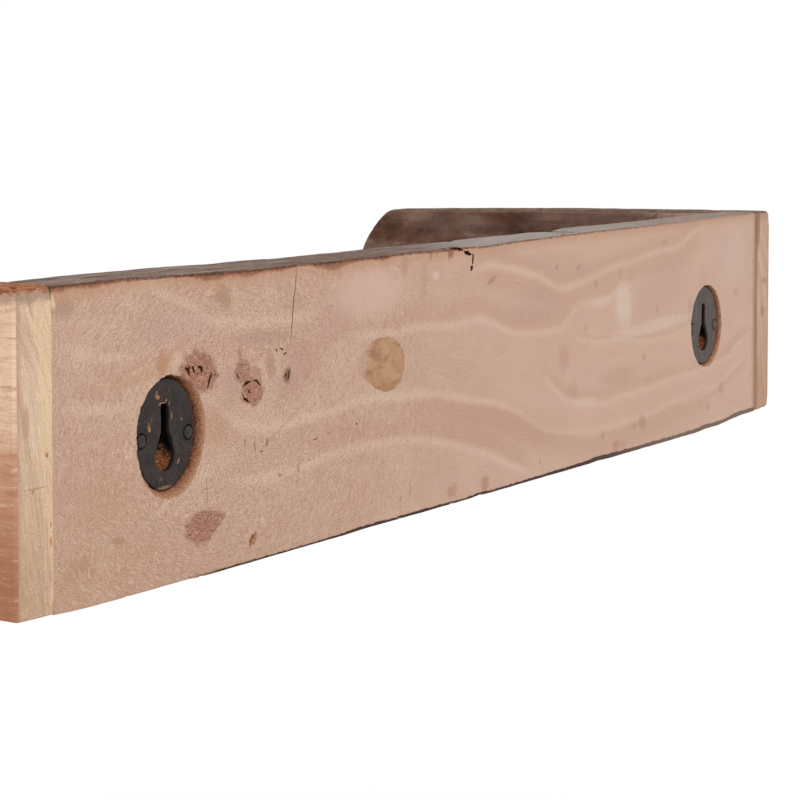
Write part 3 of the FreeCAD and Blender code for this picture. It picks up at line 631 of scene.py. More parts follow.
def add_knots_stains_and_seam_shade(at, colour):
    ragged = mottle(at, (0.3, 0.3, 0), 4, 0.6)
    colour = spotted(colour, at, ragged, 1.2, 0.5, STAINS_AND_SEAM_SHADE)
    for along, up, half_long, half_tall, turn, strength in KNOTS:
        knot = use_group(knot_paint, Place=at, Centre=(along, up, 0), Size=(half_long, half_tall, 1),
                         Turn=math.radians(turn), Noise=ragged)
        colour = mixed(knot["Mask"] * strength, colour, knot["Color"])
    return colour


print("recipe for the planed face is ready")

# %% [markdown]
# The material puts the layers together. The numbers that say where one layer gives way to the next have names.

# %% Material: back board
BORDER_SOFTNESS = (-0.7, 1.0)
BORDER_END = (560, 500)
BORDER_STRENGTH = 0.72
CRUST_START = (-0.12, 0.25)
PLANED_DEPTH = (1.2, 2.0)
# where along the board the painted shade under the lower edge fades in
SHADE_UNDER_EDGE = (96, 128)
FIBRE_RELIEF = 0.16


def make_back_material():
    material, here = new_material("planed_back_board")
    at, along, up, deep = here.values()
    colour, relief = planed_colour(here)
    colour = add_knots_stains_and_seam_shade(at, colour)
    torn = mottle(at, (0.3, 0.3, 0), 4, 0.65, seed=2)
    crumbs = mottle(at, (0.3, 1.2, 0), seed=4)
    rust = mottle(at, (0.55, 1.1, 0), 4, 0.8, seed=6)
    above = (torn - 0.5) * 2.4 + (up - curve_of(along, PLANED_TOP))
    over_edge = up - (crumbs * 0.9 + (curve_of(along, TOP_BACK) - 1.0))
    border = fade(above, *BORDER_SOFTNESS) * fade(along, *BORDER_END) * fade(over_edge, -2.0, -0.3, BORDER_STRENGTH)
    red = tones(above * 0.1 + rust, (0.36, 190, 132, 92), (0.5, 160, 98, 64), (0.66, 120, 70, 48), (0.9, 92, 58, 44))
    planed = mixed(border, coated(colour, (above, -6.5, 0.3, 0.5, 184, 136, 100)), red)
    line = fade(over_edge, -1.1, -0.3, 0.0, 0.85) * fade(rust, 0.4, 0.54) * fade(along, 480, 380, 0.3, 1.0)
    planed = mixed(line, planed, paint(76, 42, 30))
    # painted shade: a dark line along the lower edge of the planed face, where the rounded underside turns from the
    # light
    shade_top = crumbs * 1.6 + (curve_of(along, BOTTOM, 8.0) + 0.25) + fade(along, 330, 470, 0.0, 1.1)
    under = fade(up - shade_top, 0.5, -0.1) * fade(along, *SHADE_UNDER_EDGE) * fade(along, 430, 560, 1.0, 0.75)
    planed = mixed(under, planed, paint(62, 38, 28))
    skin = use_group(old_skin, Place=at, Grain=(0.02, 0.6, 0.6), Dust=0.4, Seed=2.0, Blotch=(0.009, 0.06, 0.06))
    crust = use_group(weathered_edge, Place=at, Grain=(0.03, 0.6, 1.1), Brown=0.35)
    top = coated(crust["Color"], (along, 110, 200, 0.3, 86, 60, 47), (along, 260, 360, 0.62, 196, 187, 180),
                 (along, 440, 560, 0.85, 165, 143, 133))
    on_top = fade(over_edge, *CRUST_START)
    behind = fade(crumbs * 0.8 + deep, *PLANED_DEPTH)
    # painted shade on the rounded lower arris
    arris_shade = fade(deep, 5.0, 2.5) * fade(up, 6.0, 4.0)
    old = mixed(behind, planed, mixed(arris_shade, skin["Color"], paint(52, 34, 26)))
    aged = highest(on_top, behind)
    height = mixed(aged, relief * FIBRE_RELIEF, crust["Height"])
    return feed(material, mixed(on_top, old, top), fade(aged, 0, 1, 0.62, 0.85), height, 0.9 * MM)


back_material = make_back_material()
print("material:", back_material.name, "with", len(back_material.node_tree.nodes), "nodes")

# %% [markdown]
# A cheek shows three kinds of wood at once: its outer face is planed along the grain, its end at the wall is sawn
# across the grain, and its inner face and top are the old surface. End grain is drawn by streaks that run from the
# top to the bottom, with open pores as dark flecks.

# %% Recipes for the cheeks' planed face and end grain
TOP_FALL = 5.6
TOP_CROWN = 1.0


def planed_cheek(at, up, pale, red):
    """The outer face: grain along the cheek, paler above and redder below."""
    grain = mottle(at, (0, 0.5, 0.02), 4, 0.65, 0.5)
    fine = mottle(at, (0, 2.2, 0.14), 3, 0.7, seed=2)
    height = mottle(at, (0, 0.03, 0.015), seed=5) * 90.0 + up
    cross = mottle(at + arrow_of(0.0, up * -1.5, up), (0, 0.9, 0.1), 3, 0.7, 0.6, 7)
    colour = tones(height / (HEIGHT + 90.0), (0.3, *red), (0.47, 203, 152, 120), (0.62, *pale), (0.85, *pale))
    colour = coated(colour, (grain, 0.5, 0.66, 0.24, 176, 120, 88), (grain, 0.46, 0.34, 0.14, 232, 200, 172),
                    (fine, 0.52, 0.68, 0.3, 160, 106, 76), (cross, 0.5, 0.66, 0.4, 156, 100, 70),
                    (cross, 0.46, 0.32, 0.4, 240, 208, 180))
    return colour, grain + fine


def end_grain(at, inward, up, bright, calm):
    """The sawn end: faint slanting streaks, open pores, and a ragged strip of bright sapwood on the inner side."""
    slant = at + arrow_of(up * 0.16 + fade(up, 84, 124, 0.0, 10.0))
    streak = mottle(slant, (0.42, 0.02, 0), 4, 0.6, 0.5)
    hair = mottle(slant, (1.6, 0.3, 0), 3, 0.75, 1.2, 6)
    cloud = mottle(at, (0.12, 0.04, 0), 3, 0.6, seed=4)
    pores = mottle(at, (2, 1.6, 0), 2, 0.75, seed=1)
    frayed = mottle(at, (0.5, 0.06, 0), 4, 0.7, seed=8)
    colour = tones(streak, (0.36, 194, 158, 128), (0.5, 210, 179, 152), (0.64, 226, 198, 168))
    colour = coated(colour, (cloud, 0.45, 0.7, 0.4, 196, 160, 134), (up, 75, 5, 0.66, 180, 140, 112))
    edge = frayed * 20.0 + (up * 0.06 + inward)
    return coated(colour, (edge, 26.0, 31.5, bright, 234, 202, 162), (hair, 0.5, 0.68, 0.5 * calm, 176, 138, 108),
                  (hair, 0.48, 0.32, 0.5 * calm, 244, 222, 192), (pores, 0.54, 0.68, 0.45, 150, 112, 84),
                  (pores, 0.48, 0.34, 0.3, 240, 216, 186), (frayed * 3.0 + inward, 6.0, 2.0, 0.62, 176, 134, 112)
                  ), streak + pores


print("recipes for planed faces and end grain are ready")

# %% [markdown]
# The two cheeks are one recipe with different numbers: the right one was cleaned further, and kept its russet band.

# %% Materials: cheeks
def make_cheek_material(name, outer_at_end, top, end_spots, inner_spots, pale, red, bright, shade, crusty):
    """Outer_at_end tells which end of the shelf the cheek closes: 0 for the right end, the length for the left.
    Bright is how much sapwood its sawn end shows, shade is how far that end has darkened, and crusty is how strong
    the russet band under its top is."""
    material, here = new_material(name)
    at, along, up, deep = here.values()
    inward = abs(along - outer_at_end)
    crumbs = mottle(at, (0.6, 0.6, 0.6))
    torn = mottle(at, (0.35, 0.35, 0.35), 4, 0.65, seed=6)
    ragged = crumbs * 0.9 - 0.45
    outer, outer_relief = planed_cheek(at, up, pale, red)
    sawn, sawn_relief = end_grain(at, inward, up, bright, 0.3 + 0.5 * crusty)
    sawn = mixed(shade, spotted(sawn, at, crumbs, 0.8, 0.3, end_spots), paint(158, 112, 86))
    fall = deep * (TOP_FALL / DEPTH) + (up - top)
    below = (torn - 0.5) * 6.0 + fall
    russet = tones(mottle(at, (0.3, 1, 0.3), 4, 0.75, seed=3), (0.34, 112, 62, 44), (0.48, 152, 92, 64),
                   (0.6, 180, 122, 86), (0.7, 214, 162, 118))
    planed = mixed(fade(inward, 1.0, 1.8), outer, sawn)
    planed = coated(planed, (below, -8.2, -4.2, 0.66 * crusty, 166, 132, 112))
    planed = mixed(fade(below, -3.4, -2.0, 0.0, crusty), planed, russet)
    skin = use_group(old_skin, Place=at, Grain=(0.7, 0.7, 0.02), Dust=0.25, Seed=outer_at_end / LENGTH + 5.0)
    crust = use_group(weathered_edge, Place=at, Grain=(1.1, 0.6, 0.03), Brown=0.85)
    on_top = fade(ragged * 0.8 + fall, -1.5, -0.8) * fade(deep, 20.0, 45.0, 1.0 - crusty, 1.0)
    top_colour = mixed(0.75 * (1 - crusty), crust["Color"], paint(98, 72, 58))
    fresh = highest(fade(inward + ragged, 1.6, 1.0), fade(deep + ragged, 1.1, 0.7),
                    fade(fall, -2.4, -1.6, 0.0, crusty))
    aged = spotted(skin["Color"], arrow_of(deep, up), torn, 1.6, 0.6, inner_spots)
    final = mixed(on_top, mixed(fresh, aged, planed), top_colour)
    smooth_side = fresh * fade(below, -4.5, -6.0)
    height = mixed(smooth_side, skin["Height"], (outer_relief + sawn_relief) * 0.12)
    return feed(material, final, fade(smooth_side, 0, 1, 0.8, 0.62), height, 0.8 * MM)


RIGHT_END_SPOTS = (
    (17.6, 61.8, 0.8, 1, 0, 0.75, 168, 92, 62), (9.7, 49.3, 0.7, 0.9, 0, 0.75, 176, 112, 82),
    (19.4, 29.5, 0.8, 1.8, 0, 0.75, 196, 130, 78), (10.9, 50.3, 6, 0.25, 0, 0.75, 168, 128, 100),
    (19.5, 35.8, 0.5, 1, 0, 0.75, 190, 120, 72), (6.2, 74.7, 2, 6, 0, 0.75, 190, 152, 126),
    (19.6, 119.5, 0.8, 2.4, 0, 0.75, 242, 220, 186),
)
LEFT_END_SPOTS = (
    # the row at 659 along and 60 up, 90 mm tall, is painted shade along the seam with the back board
    (659.4, 111, 3.2, 6.5, 0, 0.75, 96, 62, 48), (659, 60, 3.6, 90, 0, 0.75, 138, 94, 68),
    (661.5, 112, 4.5, 13, 0, 0.75, 150, 104, 80), (661, 18, 3.6, 20, 0, 0.75, 168, 122, 96),
    (670, 62, 2.4, 3, 0, 0.75, 168, 130, 104), (672, 80, 3, 2, 0, 0.75, 170, 134, 108),
)
LEFT_INNER_SPOTS = (
    # the first value is deep here, because the cheek is seen from its side
    (232, 113, 9, 4, 0, 0.7, 150, 120, 104), (188, 109.5, 15, 4, 0, 0.6, 144, 116, 101),
    (212, 109, 18, 7, 0, 0.45, 132, 104, 92), (159, 115, 13, 7, 0, 0.8, 74, 44, 28),
    (176, 112, 8, 6, 0, 0.6, 98, 64, 44), (251, 108, 6, 9, 0, 0.55, 84, 56, 42),
    (108, 115, 36, 9, 0, 0.6, 132, 106, 93), (240, 99, 30, 4, 0, 0.5, 98, 64, 42),
    (185, 105.5, 22, 2.6, 0, 0.5, 78, 52, 42), (30, 121, 34, 9, 0, 0.9, 184, 156, 138),
)
right_cheek_material = make_cheek_material("right_cheek_wood", 0.0, HEIGHT, RIGHT_END_SPOTS, (), (237, 200, 170),
                                           (172, 116, 84), 0.6, 0.0, 1.0)
left_cheek_material = make_cheek_material("left_cheek_wood", LENGTH, HEIGHT - LEFT_SINK, LEFT_END_SPOTS,
                                          LEFT_INNER_SPOTS, (200, 164, 138), (178, 130, 102), 0.0, 0.24, 0.2)
print("materials:", right_cheek_material.name, "and", left_cheek_material.name)

# %% [markdown]
# The next materials need to know where the plates and the putty lie. The measured model says it of the plates.

# %% Places of the plates and the putty
PLATE_LOW, PLATE_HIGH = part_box("right_keyhole_plate")
PLATE_MIDDLE = (PLATE_LOW + PLATE_HIGH) / 2
SCREW_ALONG = ((END - PLATE_MIDDLE.x) / MM, (END + PLATE_MIDDLE.x) / MM)
PLATE_UP = (PLATE_MIDDLE.z - UNDERSIDE) / MM
PLATE_FACE = -PLATE_HIGH.y / MM
PLATE_BACK = -PLATE_LOW.y / MM
PLATE_HALF_WIDTH = 18.7
PLATE_HALF_HEIGHT = (PLATE_HIGH.z - PLATE_LOW.z) / 2 / MM
HANG_UP = -UNDERSIDE / MM
ENTRY_DROP = 18.0
NAIL_OUT = 15.0
NAIL_UP = PLATE_UP - 1.0
PUTTY_MIDDLE = (247.0, 71.9)
PUTTY_THIN = 226.0


print("plates at", [round(where, 1) for where in SCREW_ALONG], "mm along")

# %% [markdown]
# The shelf board is old on every side that shows. Its front edge is rubbed paler, because that is where hands and
# boxes meet it. Cut wood is what a chisel left in the recesses, darkened with depth by painted shade. Crack wood is
# dark brown dirt and painted shade at the bottom of a crack.

# %% Materials: shelf board, cut wood, cracks, putty, dowels
def make_shelf_material():
    material, here = new_material("old_shelf_board")
    at, deep = here["Place"], here["Deep"]
    skin = use_group(old_skin, Place=at, Grain=(0.02, 0.7, 0.7), Dust=0.35, Seed=9.0, Blotch=(0.008, 0.05, 0.05))
    patches = mottle(at, (0.04, 0.2, 0.2), 4, 0.6, seed=2)
    rubbed = coated(skin["Color"], (patches * 9.0 + deep, 276.0, 283.0, 0.75, 158, 118, 92))
    return feed(material, rubbed, skin["Roughness"], skin["Height"], 0.9 * MM)


def make_cut_material():
    """Torn wood, darker with depth as painted shade: pale at a cut's rim, red-brown further down, and painted black
    where light never gets. Slivers on the chewed floor of a pocket are painted lit.
    """
    material, here = new_material("chiselled_wood")
    at, _, up, deep = here.values()
    fibre = mottle(at, (1.3, 1.8, 1.2), 4, 0.8, 0.6)
    sliver = mottle(at, (0.5, 1.6, 1.2), 3, 0.75, 1.5, 5)
    grit = mottle(at, (2, 2.4, 1.4), 2, 0.8, seed=7)
    # painted shade: the torn wood darkens with depth, from pale at the rim through its own red-brown to near black
    colour = tones(((fibre - 0.5) * 5.5 + deep) / 4.0, (0.0, 208, 164, 132), (0.16, 190, 138, 106),
                   (0.34, 166, 106, 74), (0.58, 132, 80, 56), (0.84, 74, 44, 33))
    # painted light and shade in the pocket: slivers painted lit where its floor comes up, painted black elsewhere
    inside = tones(sliver, (0.36, 66, 32, 18), (0.48, 128, 70, 40), (0.58, 176, 108, 66), (0.7, 236, 190, 124))
    lit = (sliver - 0.5) * 8.0 + ((deep - PLATE_BACK) * 0.8 + (HANG_UP - ENTRY_DROP - up))
    inside = mixed(fade(lit, 3.6, 0.4), inside, paint(14, 9, 8))
    colour = coated(colour, (grit, 0.54, 0.64, 0.5, 104, 62, 44), (grit, 0.45, 0.36, 0.45, 224, 178, 140))
    return feed(material, mixed(fade(deep, 3.2, 3.9), colour, inside), 0.9, fibre, 0.9 * MM)


def make_plain_material(name, size, shine, roughness, relief, detail, *stops):
    """One colour ramp over one fine noise, for the dirt and painted shade in the cracks, and for the hidden dowels."""
    material, here = new_material(name, shine)
    crumbs = mottle(here["Place"], (size, size, size), 3, detail)
    return feed(material, tones(crumbs, *stops), roughness, crumbs, relief * MM)


def make_putty_material():
    """Tan putty. It was pulled out thin over its left end, where the wood shows through between the strokes."""
    material, here = new_material("tan_putty")
    at, along, up, _ = here.values()
    sweep = mottle(at, (0.08, 1.5, 0), 4, 0.7, 0.6)
    grit = mottle(at, (1.4, 1.4, 0), 2, 0.7, seed=5)
    colour = tones(mottle(at, (0.1, 0.16, 0), 4, 0.6, 0.6, 3), (0.38, 162, 119, 86), (0.5, 177, 135, 103),
                   (0.62, 189, 148, 115))
    colour = coated(colour, (sweep, 0.54, 0.62, 0.4, 200, 162, 128), (grit, 0.56, 0.72, 0.3, 146, 104, 74))
    wood, _ = planed_colour(here)
    thin = sweep * -24.0 + ((PUTTY_MIDDLE[1] - up) * 0.45 + along)
    colour = mixed(fade(thin, PUTTY_THIN - 1, PUTTY_THIN - 7, 0.0, 0.75), colour, wood)
    return feed(material, colour, 0.7, grit, 0.15 * MM)


shelf_material = make_shelf_material()
cut_material = make_cut_material()
# the colour of the cracks is partly dirt and partly painted shade in their narrow depth
crack_dirt_and_shade_material = make_plain_material("crack_dirt_and_painted_shade", 1.5, 0.0, 0.9, 0.3, 0.55, (0.35, 46, 24, 16), (0.65, 104, 62, 44))
putty_material = make_putty_material()
dowel_material = make_plain_material("turned_dowel_wood", 1.2, 0.2, 0.55, 0.1, 0.7, (0.35, 190, 148, 106),
                                     (0.65, 222, 186, 142))
print("materials:", shelf_material.name, cut_material.name, crack_dirt_and_shade_material.name, putty_material.name)

# %% [markdown]
# The plates are thin iron, painted black long ago. The paint has worn through to tan at the corners of the slot,
# and the rims are rubbed paler. Paint over iron is neither a mirror nor chalk, so its roughness wanders too.

# %% Group: worn black iron
WORN_PATCHES = (
    # from the middle of the plate: along, up, half length, half height, turn
    (-4.8, 15.2, 1.9, 1, 20), (-5.2, 17, 0.9, 0.9, 0), (0.8, 13.4, 1, 0.4, -45), (2.7, 11.7, 0.35, 1.3, 20),
    (4.2, 7.2, 0.35, 2.2, 0), (-10, 3.8, 1, 2, -8), (-8.4, 6.8, 0.4, 1, 0), (10.8, 4.8, 1, 0.35, 40),
    (-1.7, 12.2, 2.6, 0.7, 0), (-0.5, -21.8, 9, 1.6, 0), (8.5, -11.5, 0.5, 1.3, 25), (-3, -17.4, 0.9, 0.4, -30),
)


def make_iron_group():
    """Black paint worn off old iron: the wear is a mask given from outside, broken up by noise."""
    tree, ins = new_group("Worn black iron", "Color Roughness Height", Place=(0, 0, 0), Wear=0.0, Dust=0.0)
    at = ins["Place"]
    grit = mottle(at, (1.6, 1.6, 1.6), 4, 0.7)
    cloud = mottle(at, (0.16, 0.16, 0.16), seed=2)
    smear = mottle(at, (0.3, 0.12, 0.3), 3, 0.6, 0.5, 5)
    scratch = mottle(at, (1.3, 0.5, 1), 2, 0.6, 3.0, 8)
    base = tones(cloud, (0.32, 22, 17, 15), (0.5, 32, 24, 21), (0.68, 46, 36, 32))
    base = coated(base, (smear, 0.5, 0.7, 0.6, 72, 52, 42), (grit, 0.56, 0.68, 0.8, 98, 80, 68),
                  (scratch, 0.66, 0.7, 0.6, 128, 106, 90), (grit, 0.44, 0.32, 0.7, 20, 17, 16))
    base = mixed(ins["Dust"], base, paint(120, 110, 106))
    bare = fade((grit - 0.5) * 1.3 + ins["Wear"], 0.42, 0.62)
    tan = mixed(fade(cloud, 0.4, 0.6), paint(158, 116, 80), paint(112, 80, 60))
    return end_group(tree, Color=mixed(bare, base, tan), Roughness=fade(smear, 0.35, 0.65, 0.5, 0.72),
                     Height=bare * -0.5 + grit)


worn_iron = make_iron_group()


print("group:", worn_iron.name)

# %% [markdown]
# Each plate tells the iron group where it is worn: at its rim, whose paler band is also a painted highlight on the
# bevel, and at the patches of the table. Painted shade lies round its nails and down the walls of its keyhole.

# %% Materials: painted plates and nails
def make_plate_material(name, middle_along, patches, dust):
    material, here = new_material(name, 0.28)
    at = here["Place"]
    ragged = mottle(at, (0.9, 0.9, 0))
    rim = spot_at(at, ragged, 0.1, 0.1, middle_along, PLATE_UP, PLATE_HALF_WIDTH, PLATE_HALF_HEIGHT)
    worn = [spot_at(at, ragged, 1.0, 0.35, middle_along + along, PLATE_UP + up, *shape)["Mask"] * 0.75
            for along, up, *shape in patches]
    # the paler rim is partly rubbed paint and partly a painted highlight on the bevel
    wear = highest(fade(rim["Distance"], 0.93, 1.02, 0.0, 0.42), *worn)
    iron = use_group(worn_iron, Place=at, Wear=wear, Dust=dust)
    # painted shade: dark crescents round the nail heads, where the gap of the countersink lies in shadow
    rings = [spot_at(at, ragged, 0.8, 0.2, middle_along + out - 0.9, NAIL_UP + 0.7, 4.5, 4.4)["Mask"]
             * (0.75 * (1 - 2 * dust)) for out in (-NAIL_OUT, NAIL_OUT)]
    # painted shade on the keyhole walls and the lower bevel, everything below the plate's face
    painted_shade = highest(fade(here["Deep"], PLATE_FACE + 0.5, PLATE_FACE + 1.2, 0.0, 0.85), *rings)
    colour = mixed(painted_shade, iron["Color"], paint(18, 13, 12))
    return feed(material, colour, iron["Roughness"], iron["Height"], 0.22 * MM, 0.1)


def make_nail_material(name, middle_along, dust):
    """The nail nearer the board's end has rusted away: a dark pit with brown crumbs is left of its head."""
    material, here = new_material(name, 0.4)
    iron = use_group(worn_iron, Place=here["Place"], Wear=0.0, Dust=dust)
    dull = mixed(0.45 * (1 - 2 * dust), iron["Color"], paint(52, 42, 40))
    rusted = tones(mottle(here["Place"], (0.7, 0.7, 0.7), 3, 0.6, seed=3), (0.52, 14, 9, 8), (0.66, 108, 76, 56))
    pit = fade(here["Along"], middle_along, middle_along - 2, 0.0, 0.8 * (1 - 2 * dust))
    return feed(material, mixed(pit, dull, rusted), iron["Roughness"], iron["Height"], 0.3 * MM, 0.1)


plate_materials, nail_materials = {}, {}
for plate_name, side, middle_along, patches, dust in (
        ("right_keyhole_plate", "near", SCREW_ALONG[0], WORN_PATCHES, 0.0),
        ("left_keyhole_plate", "far", SCREW_ALONG[1], WORN_PATCHES[3:6], 0.37)):
    plate_materials[plate_name] = make_plate_material(side + "_plate_iron", middle_along, patches, dust)
    nail_materials[plate_name] = make_nail_material(side + "_nail_iron", middle_along, dust)
print("materials:", ", ".join(material.name for material in [*plate_materials.values(), *nail_materials.values()]))

# %% [markdown]
# Each board starts as a box whose six sides are grids of small squares, in the shelf's own millimetres. A grid can
# be bent, rounded and dented point by point, and later cut by other shapes. The lines of the grid lie closer
# together at the corners, where the rounding needs them.

# %% Helpers for board meshes
def grid_lines(low, high, step, edge):
    corner = np.array([0, 0.25, 0.5, 0.75]) * edge
    count = max(2, round((high - low - 2 * edge) / step) + 1)
    return np.concatenate([low + corner, np.linspace(low + edge, high - edge, count), high - corner[::-1]])


def lattice_box(low, high, *spacings):
    """The skin of a box of grid points: the points, and its squares facing outwards. A spacing is a step and an
    edge for the grid lines of one axis."""
    lines = [grid_lines(low[axis], high[axis], step, edge) for axis, (step, edge) in enumerate(spacings)]
    counts = [len(line) for line in lines]
    grid = np.indices(counts)
    on_skin = np.zeros(counts, bool)
    for axis, count in enumerate(counts):
        on_skin |= (grid[axis] == 0) | (grid[axis] == count - 1)
    number = np.full(counts, -1)
    number[on_skin] = np.arange(on_skin.sum())
    points = np.stack([line[grid[axis][on_skin]] for axis, line in enumerate(lines)], axis=1)
    squares = []
    for axis, count in enumerate(counts):
        for side in (0, count - 1):
            sheet = np.take(number, side, axis=axis)
            square = np.stack([sheet[:-1, :-1], sheet[1:, :-1], sheet[1:, 1:], sheet[:-1, 1:]], axis=-1)
            turned_over = (side == 0) != (axis == 1)
            squares.append(square.reshape(-1, 4)[:, ::-1 if turned_over else 1])
    return points, np.concatenate(squares)


def round_edges(points, low, high, low_radii, high_radii):
    """Pulls the corners of a grid onto arcs. The three radii of a side may differ from point to point."""
    core = np.clip(points, low + low_radii, high - high_radii)
    radii = np.where(points < core, low_radii, high_radii)
    away = (points - core) / radii
    shrink = np.abs(away).max(axis=1) / np.maximum(np.linalg.norm(away, axis=1), 1e-9)
    return core + away * shrink[:, None] * radii


print("helpers for grids are ready")

# %% [markdown]
# Worn shapes need a smooth step, a look-up in a table and lumpy noise, the same three as in the materials. The
# last two helpers turn points into an object, and keep what modifiers made of it.

# %% Helpers for worn meshes
def smooth(amount, start, end):
    share = np.clip((np.asarray(amount, float) - start) / (end - start), 0, 1)
    return share * share * (3 - 2 * share)


def along_table(where, table):
    return np.interp(where, [row[0] for row in table], [row[1] for row in table])


def bumps(points, scale, seed):
    """Smooth noise from -1 to 1 at each point. The scale is in spots per millimetre, along each axis."""
    moved = np.asarray(points) * scale + seed * 7.31
    return np.array([noise.noise(Vector(spot)) for spot in moved])


def mesh_of(name, points, faces, materials, turned_over=True):
    """Makes an object from points in shelf millimetres. The faces turn over, because `along` runs against X."""
    away = np.asarray(points, float)
    world = np.stack([END - away[:, 0] * MM, -away[:, 2] * MM, UNDERSIDE + away[:, 1] * MM], axis=1)
    mesh = bpy.data.meshes.new(name)
    mesh.from_pydata(world.tolist(), [], [list(face)[::-1 if turned_over else 1] for face in faces])
    for material in materials:
        mesh.materials.append(material)
    return add_object(name, mesh)


def bake(made):
    """Keeps what comes out of an object's modifiers as its plain mesh, and clears them."""
    graph = bpy.context.evaluated_depsgraph_get()
    mesh = bpy.data.meshes.new_from_object(made.evaluated_get(graph), depsgraph=graph)
    made.modifiers.clear()
    made.data = mesh
    return made


print("helpers for meshes are ready")

# %% [markdown]
# Rain, dust and a hundred years of hands wear a board along its grain: the soft wood goes first and leaves grooves.
# A Geometry Nodes tree does this to any board. It moves each point inwards, along a noise that is stretched the way
# the grain runs, as far as the point's own `wear` says: a planed face hardly moves, a weathered top moves most.

# %% Geometry Nodes: weathered board
def new_geometry_tree(name, **inputs):
    tree = bpy.data.node_groups.new(name, "GeometryNodeTree")
    tree.interface.new_socket("Geometry", in_out="INPUT", socket_type="NodeSocketGeometry")
    for socket, kind in inputs.items():
        tree.interface.new_socket(socket, in_out="INPUT", socket_type="NodeSocket" + kind)
    tree.interface.new_socket("Geometry", in_out="OUTPUT", socket_type="NodeSocketGeometry")
    return tree, inputs_of(tree)


def finish_tree(tree, geometry, material):
    """Every tree ends alike: instances become real, and the finish is set."""
    real = value(tree, "GeometryNodeRealizeInstances", {0: geometry})
    return end_group(tree, Geometry=value(tree, "GeometryNodeSetMaterial", {"Geometry": real, "Material": material}))


def settle(made, tree, **inputs):
    """Runs a tree on an object and keeps what comes out as a plain mesh."""
    modifier = made.modifiers.new("tree", "NODES")
    modifier.node_group = tree
    for socket in tree.interface.items_tree:
        if socket.in_out == "INPUT" and socket.name in inputs:
            modifier[socket.identifier] = inputs[socket.name]
    return bake(made)


def make_weather_tree():
    tree, ins = new_geometry_tree("Weathered board", Grain="Vector", Groove="Float", Dent="Float", Seed="Float",
                                  Material="Material")
    at = value(tree, "GeometryNodeInputPosition")
    fibre = value(tree, "ShaderNodeTexNoise", {"Vector": at * ins["Grain"], "W": ins["Seed"], "Scale": 1, "Detail": 3,
                                               "Roughness": 0.6}, noise_dimensions="4D")
    knock = value(tree, "ShaderNodeTexNoise", {"Vector": at, "W": ins["Seed"], "Scale": 55, "Detail": 2},
                  noise_dimensions="4D")
    groove = fade(fibre, 0.5, 0.3) * ins["Groove"]
    dent = fade(knock, 0.55, 0.75) * ins["Dent"]
    wear = value(tree, "GeometryNodeInputNamedAttribute", {"Name": "wear"}, output="Attribute", data_type="FLOAT")
    inwards = value(tree, "GeometryNodeInputNormal") * ((groove + dent) * wear * -1.0)
    moved = value(tree, "GeometryNodeSetPosition", {"Geometry": ins["Geometry"], "Offset": inwards})
    return finish_tree(tree, moved, ins["Material"])


weathered_board = make_weather_tree()


def weather(made, wear, material, grain, groove, dent, seed):
    """The wear is one value for each point of the mesh, 1 at most. The grain is in spots per metre along X, Y and
    Z. Groove and dent are in millimetres."""
    layer = made.data.attributes.new("wear", "FLOAT", "POINT")
    layer.data.foreach_set("value", np.minimum(wear, 1).astype(np.float32))
    settle(made, weathered_board, Grain=grain, Groove=groove * MM, Dent=dent * MM, Seed=seed, Material=material)
    made.data.attributes.remove(made.data.attributes["wear"])
    return made


print("Geometry Nodes tree:", weathered_board.name)

# %% [markdown]
# The back board is straight on its face. Its top and bottom are pulled onto the worn outlines from the tables, and
# the pull fades out towards the middle of the board, so that the grid stays even.

# %% Back board: its worn blank
def shape_back_board():
    low = np.array([THICKNESS, 0, 0])
    high = np.array([LENGTH - THICKNESS, HEIGHT, THICKNESS])
    points, squares = lattice_box(low, high, (2.4, 1.0), (1.7, 1.4), (1.6, 1.4))
    low_radii = np.tile([0.25, 0.4, 0.5], (len(points), 1))
    high_radii = np.tile([0.25, 1.3, 1.5], (len(points), 1))
    wear = 0.03 + 0.5 * smooth(points[:, 2], 1.0, 3.0) + 0.9 * smooth(points[:, 1], HEIGHT - 0.6, HEIGHT)
    points = round_edges(points, low, high, low_radii, high_radii)
    along, up, deep = points.T
    front_share = deep / THICKNESS
    top = along_table(along, TOP_FRONT) * front_share + along_table(along, TOP_BACK) * (1 - front_share)
    drop = HEIGHT - top + 0.15 * (1 + bumps(points, (0.08, 0.0, 0.25), 1))
    rise = np.maximum(along_table(along, BOTTOM) - 0.3, 0) + 0.1 * (1 + bumps(points, (0.12, 0.0, 0.1), 2))
    points[:, 1] += rise * smooth(up, 30, 0) - drop * smooth(up, HEIGHT - 26, HEIGHT - 0.5)
    made = mesh_of("back_board_wood", points, squares, [back_material])
    return weather(made, wear, back_material, grain=(22, 500, 500), groove=0.6, dent=0.3, seed=3.0)


back_board = shape_back_board()
print("back board:", len(back_board.data.polygons), "faces")

# %% [markdown]
# A cheek isn't a box: its top falls a little towards the room and its nose is rounded. The same grid of squares is
# made as a box first and then bent onto that outline, so the squares follow the curve and the grain.

# %% Cheeks
NOSE_RUN = 28.7
NOSE_RISE = 53.4
NOSE_RADIUS = (NOSE_RISE ** 2 + NOSE_RUN ** 2) / (2 * NOSE_RUN)
NOSE_START = HEIGHT - TOP_FALL - NOSE_RISE - 1.5


def bend_to_cheek(points, sink):
    """The sink is how much lower this cheek is than the model, all along its top."""
    along, up, deep = points.T
    share = deep / DEPTH
    top = HEIGHT - sink - TOP_FALL * share + 4 * TOP_CROWN * share * (1 - share)
    up = up * top / HEIGHT
    past = np.maximum(up - NOSE_START, 0)
    front = DEPTH - NOSE_RADIUS + np.sqrt(NOSE_RADIUS ** 2 - past ** 2)
    return np.stack([along, up, deep * front / DEPTH], axis=1)


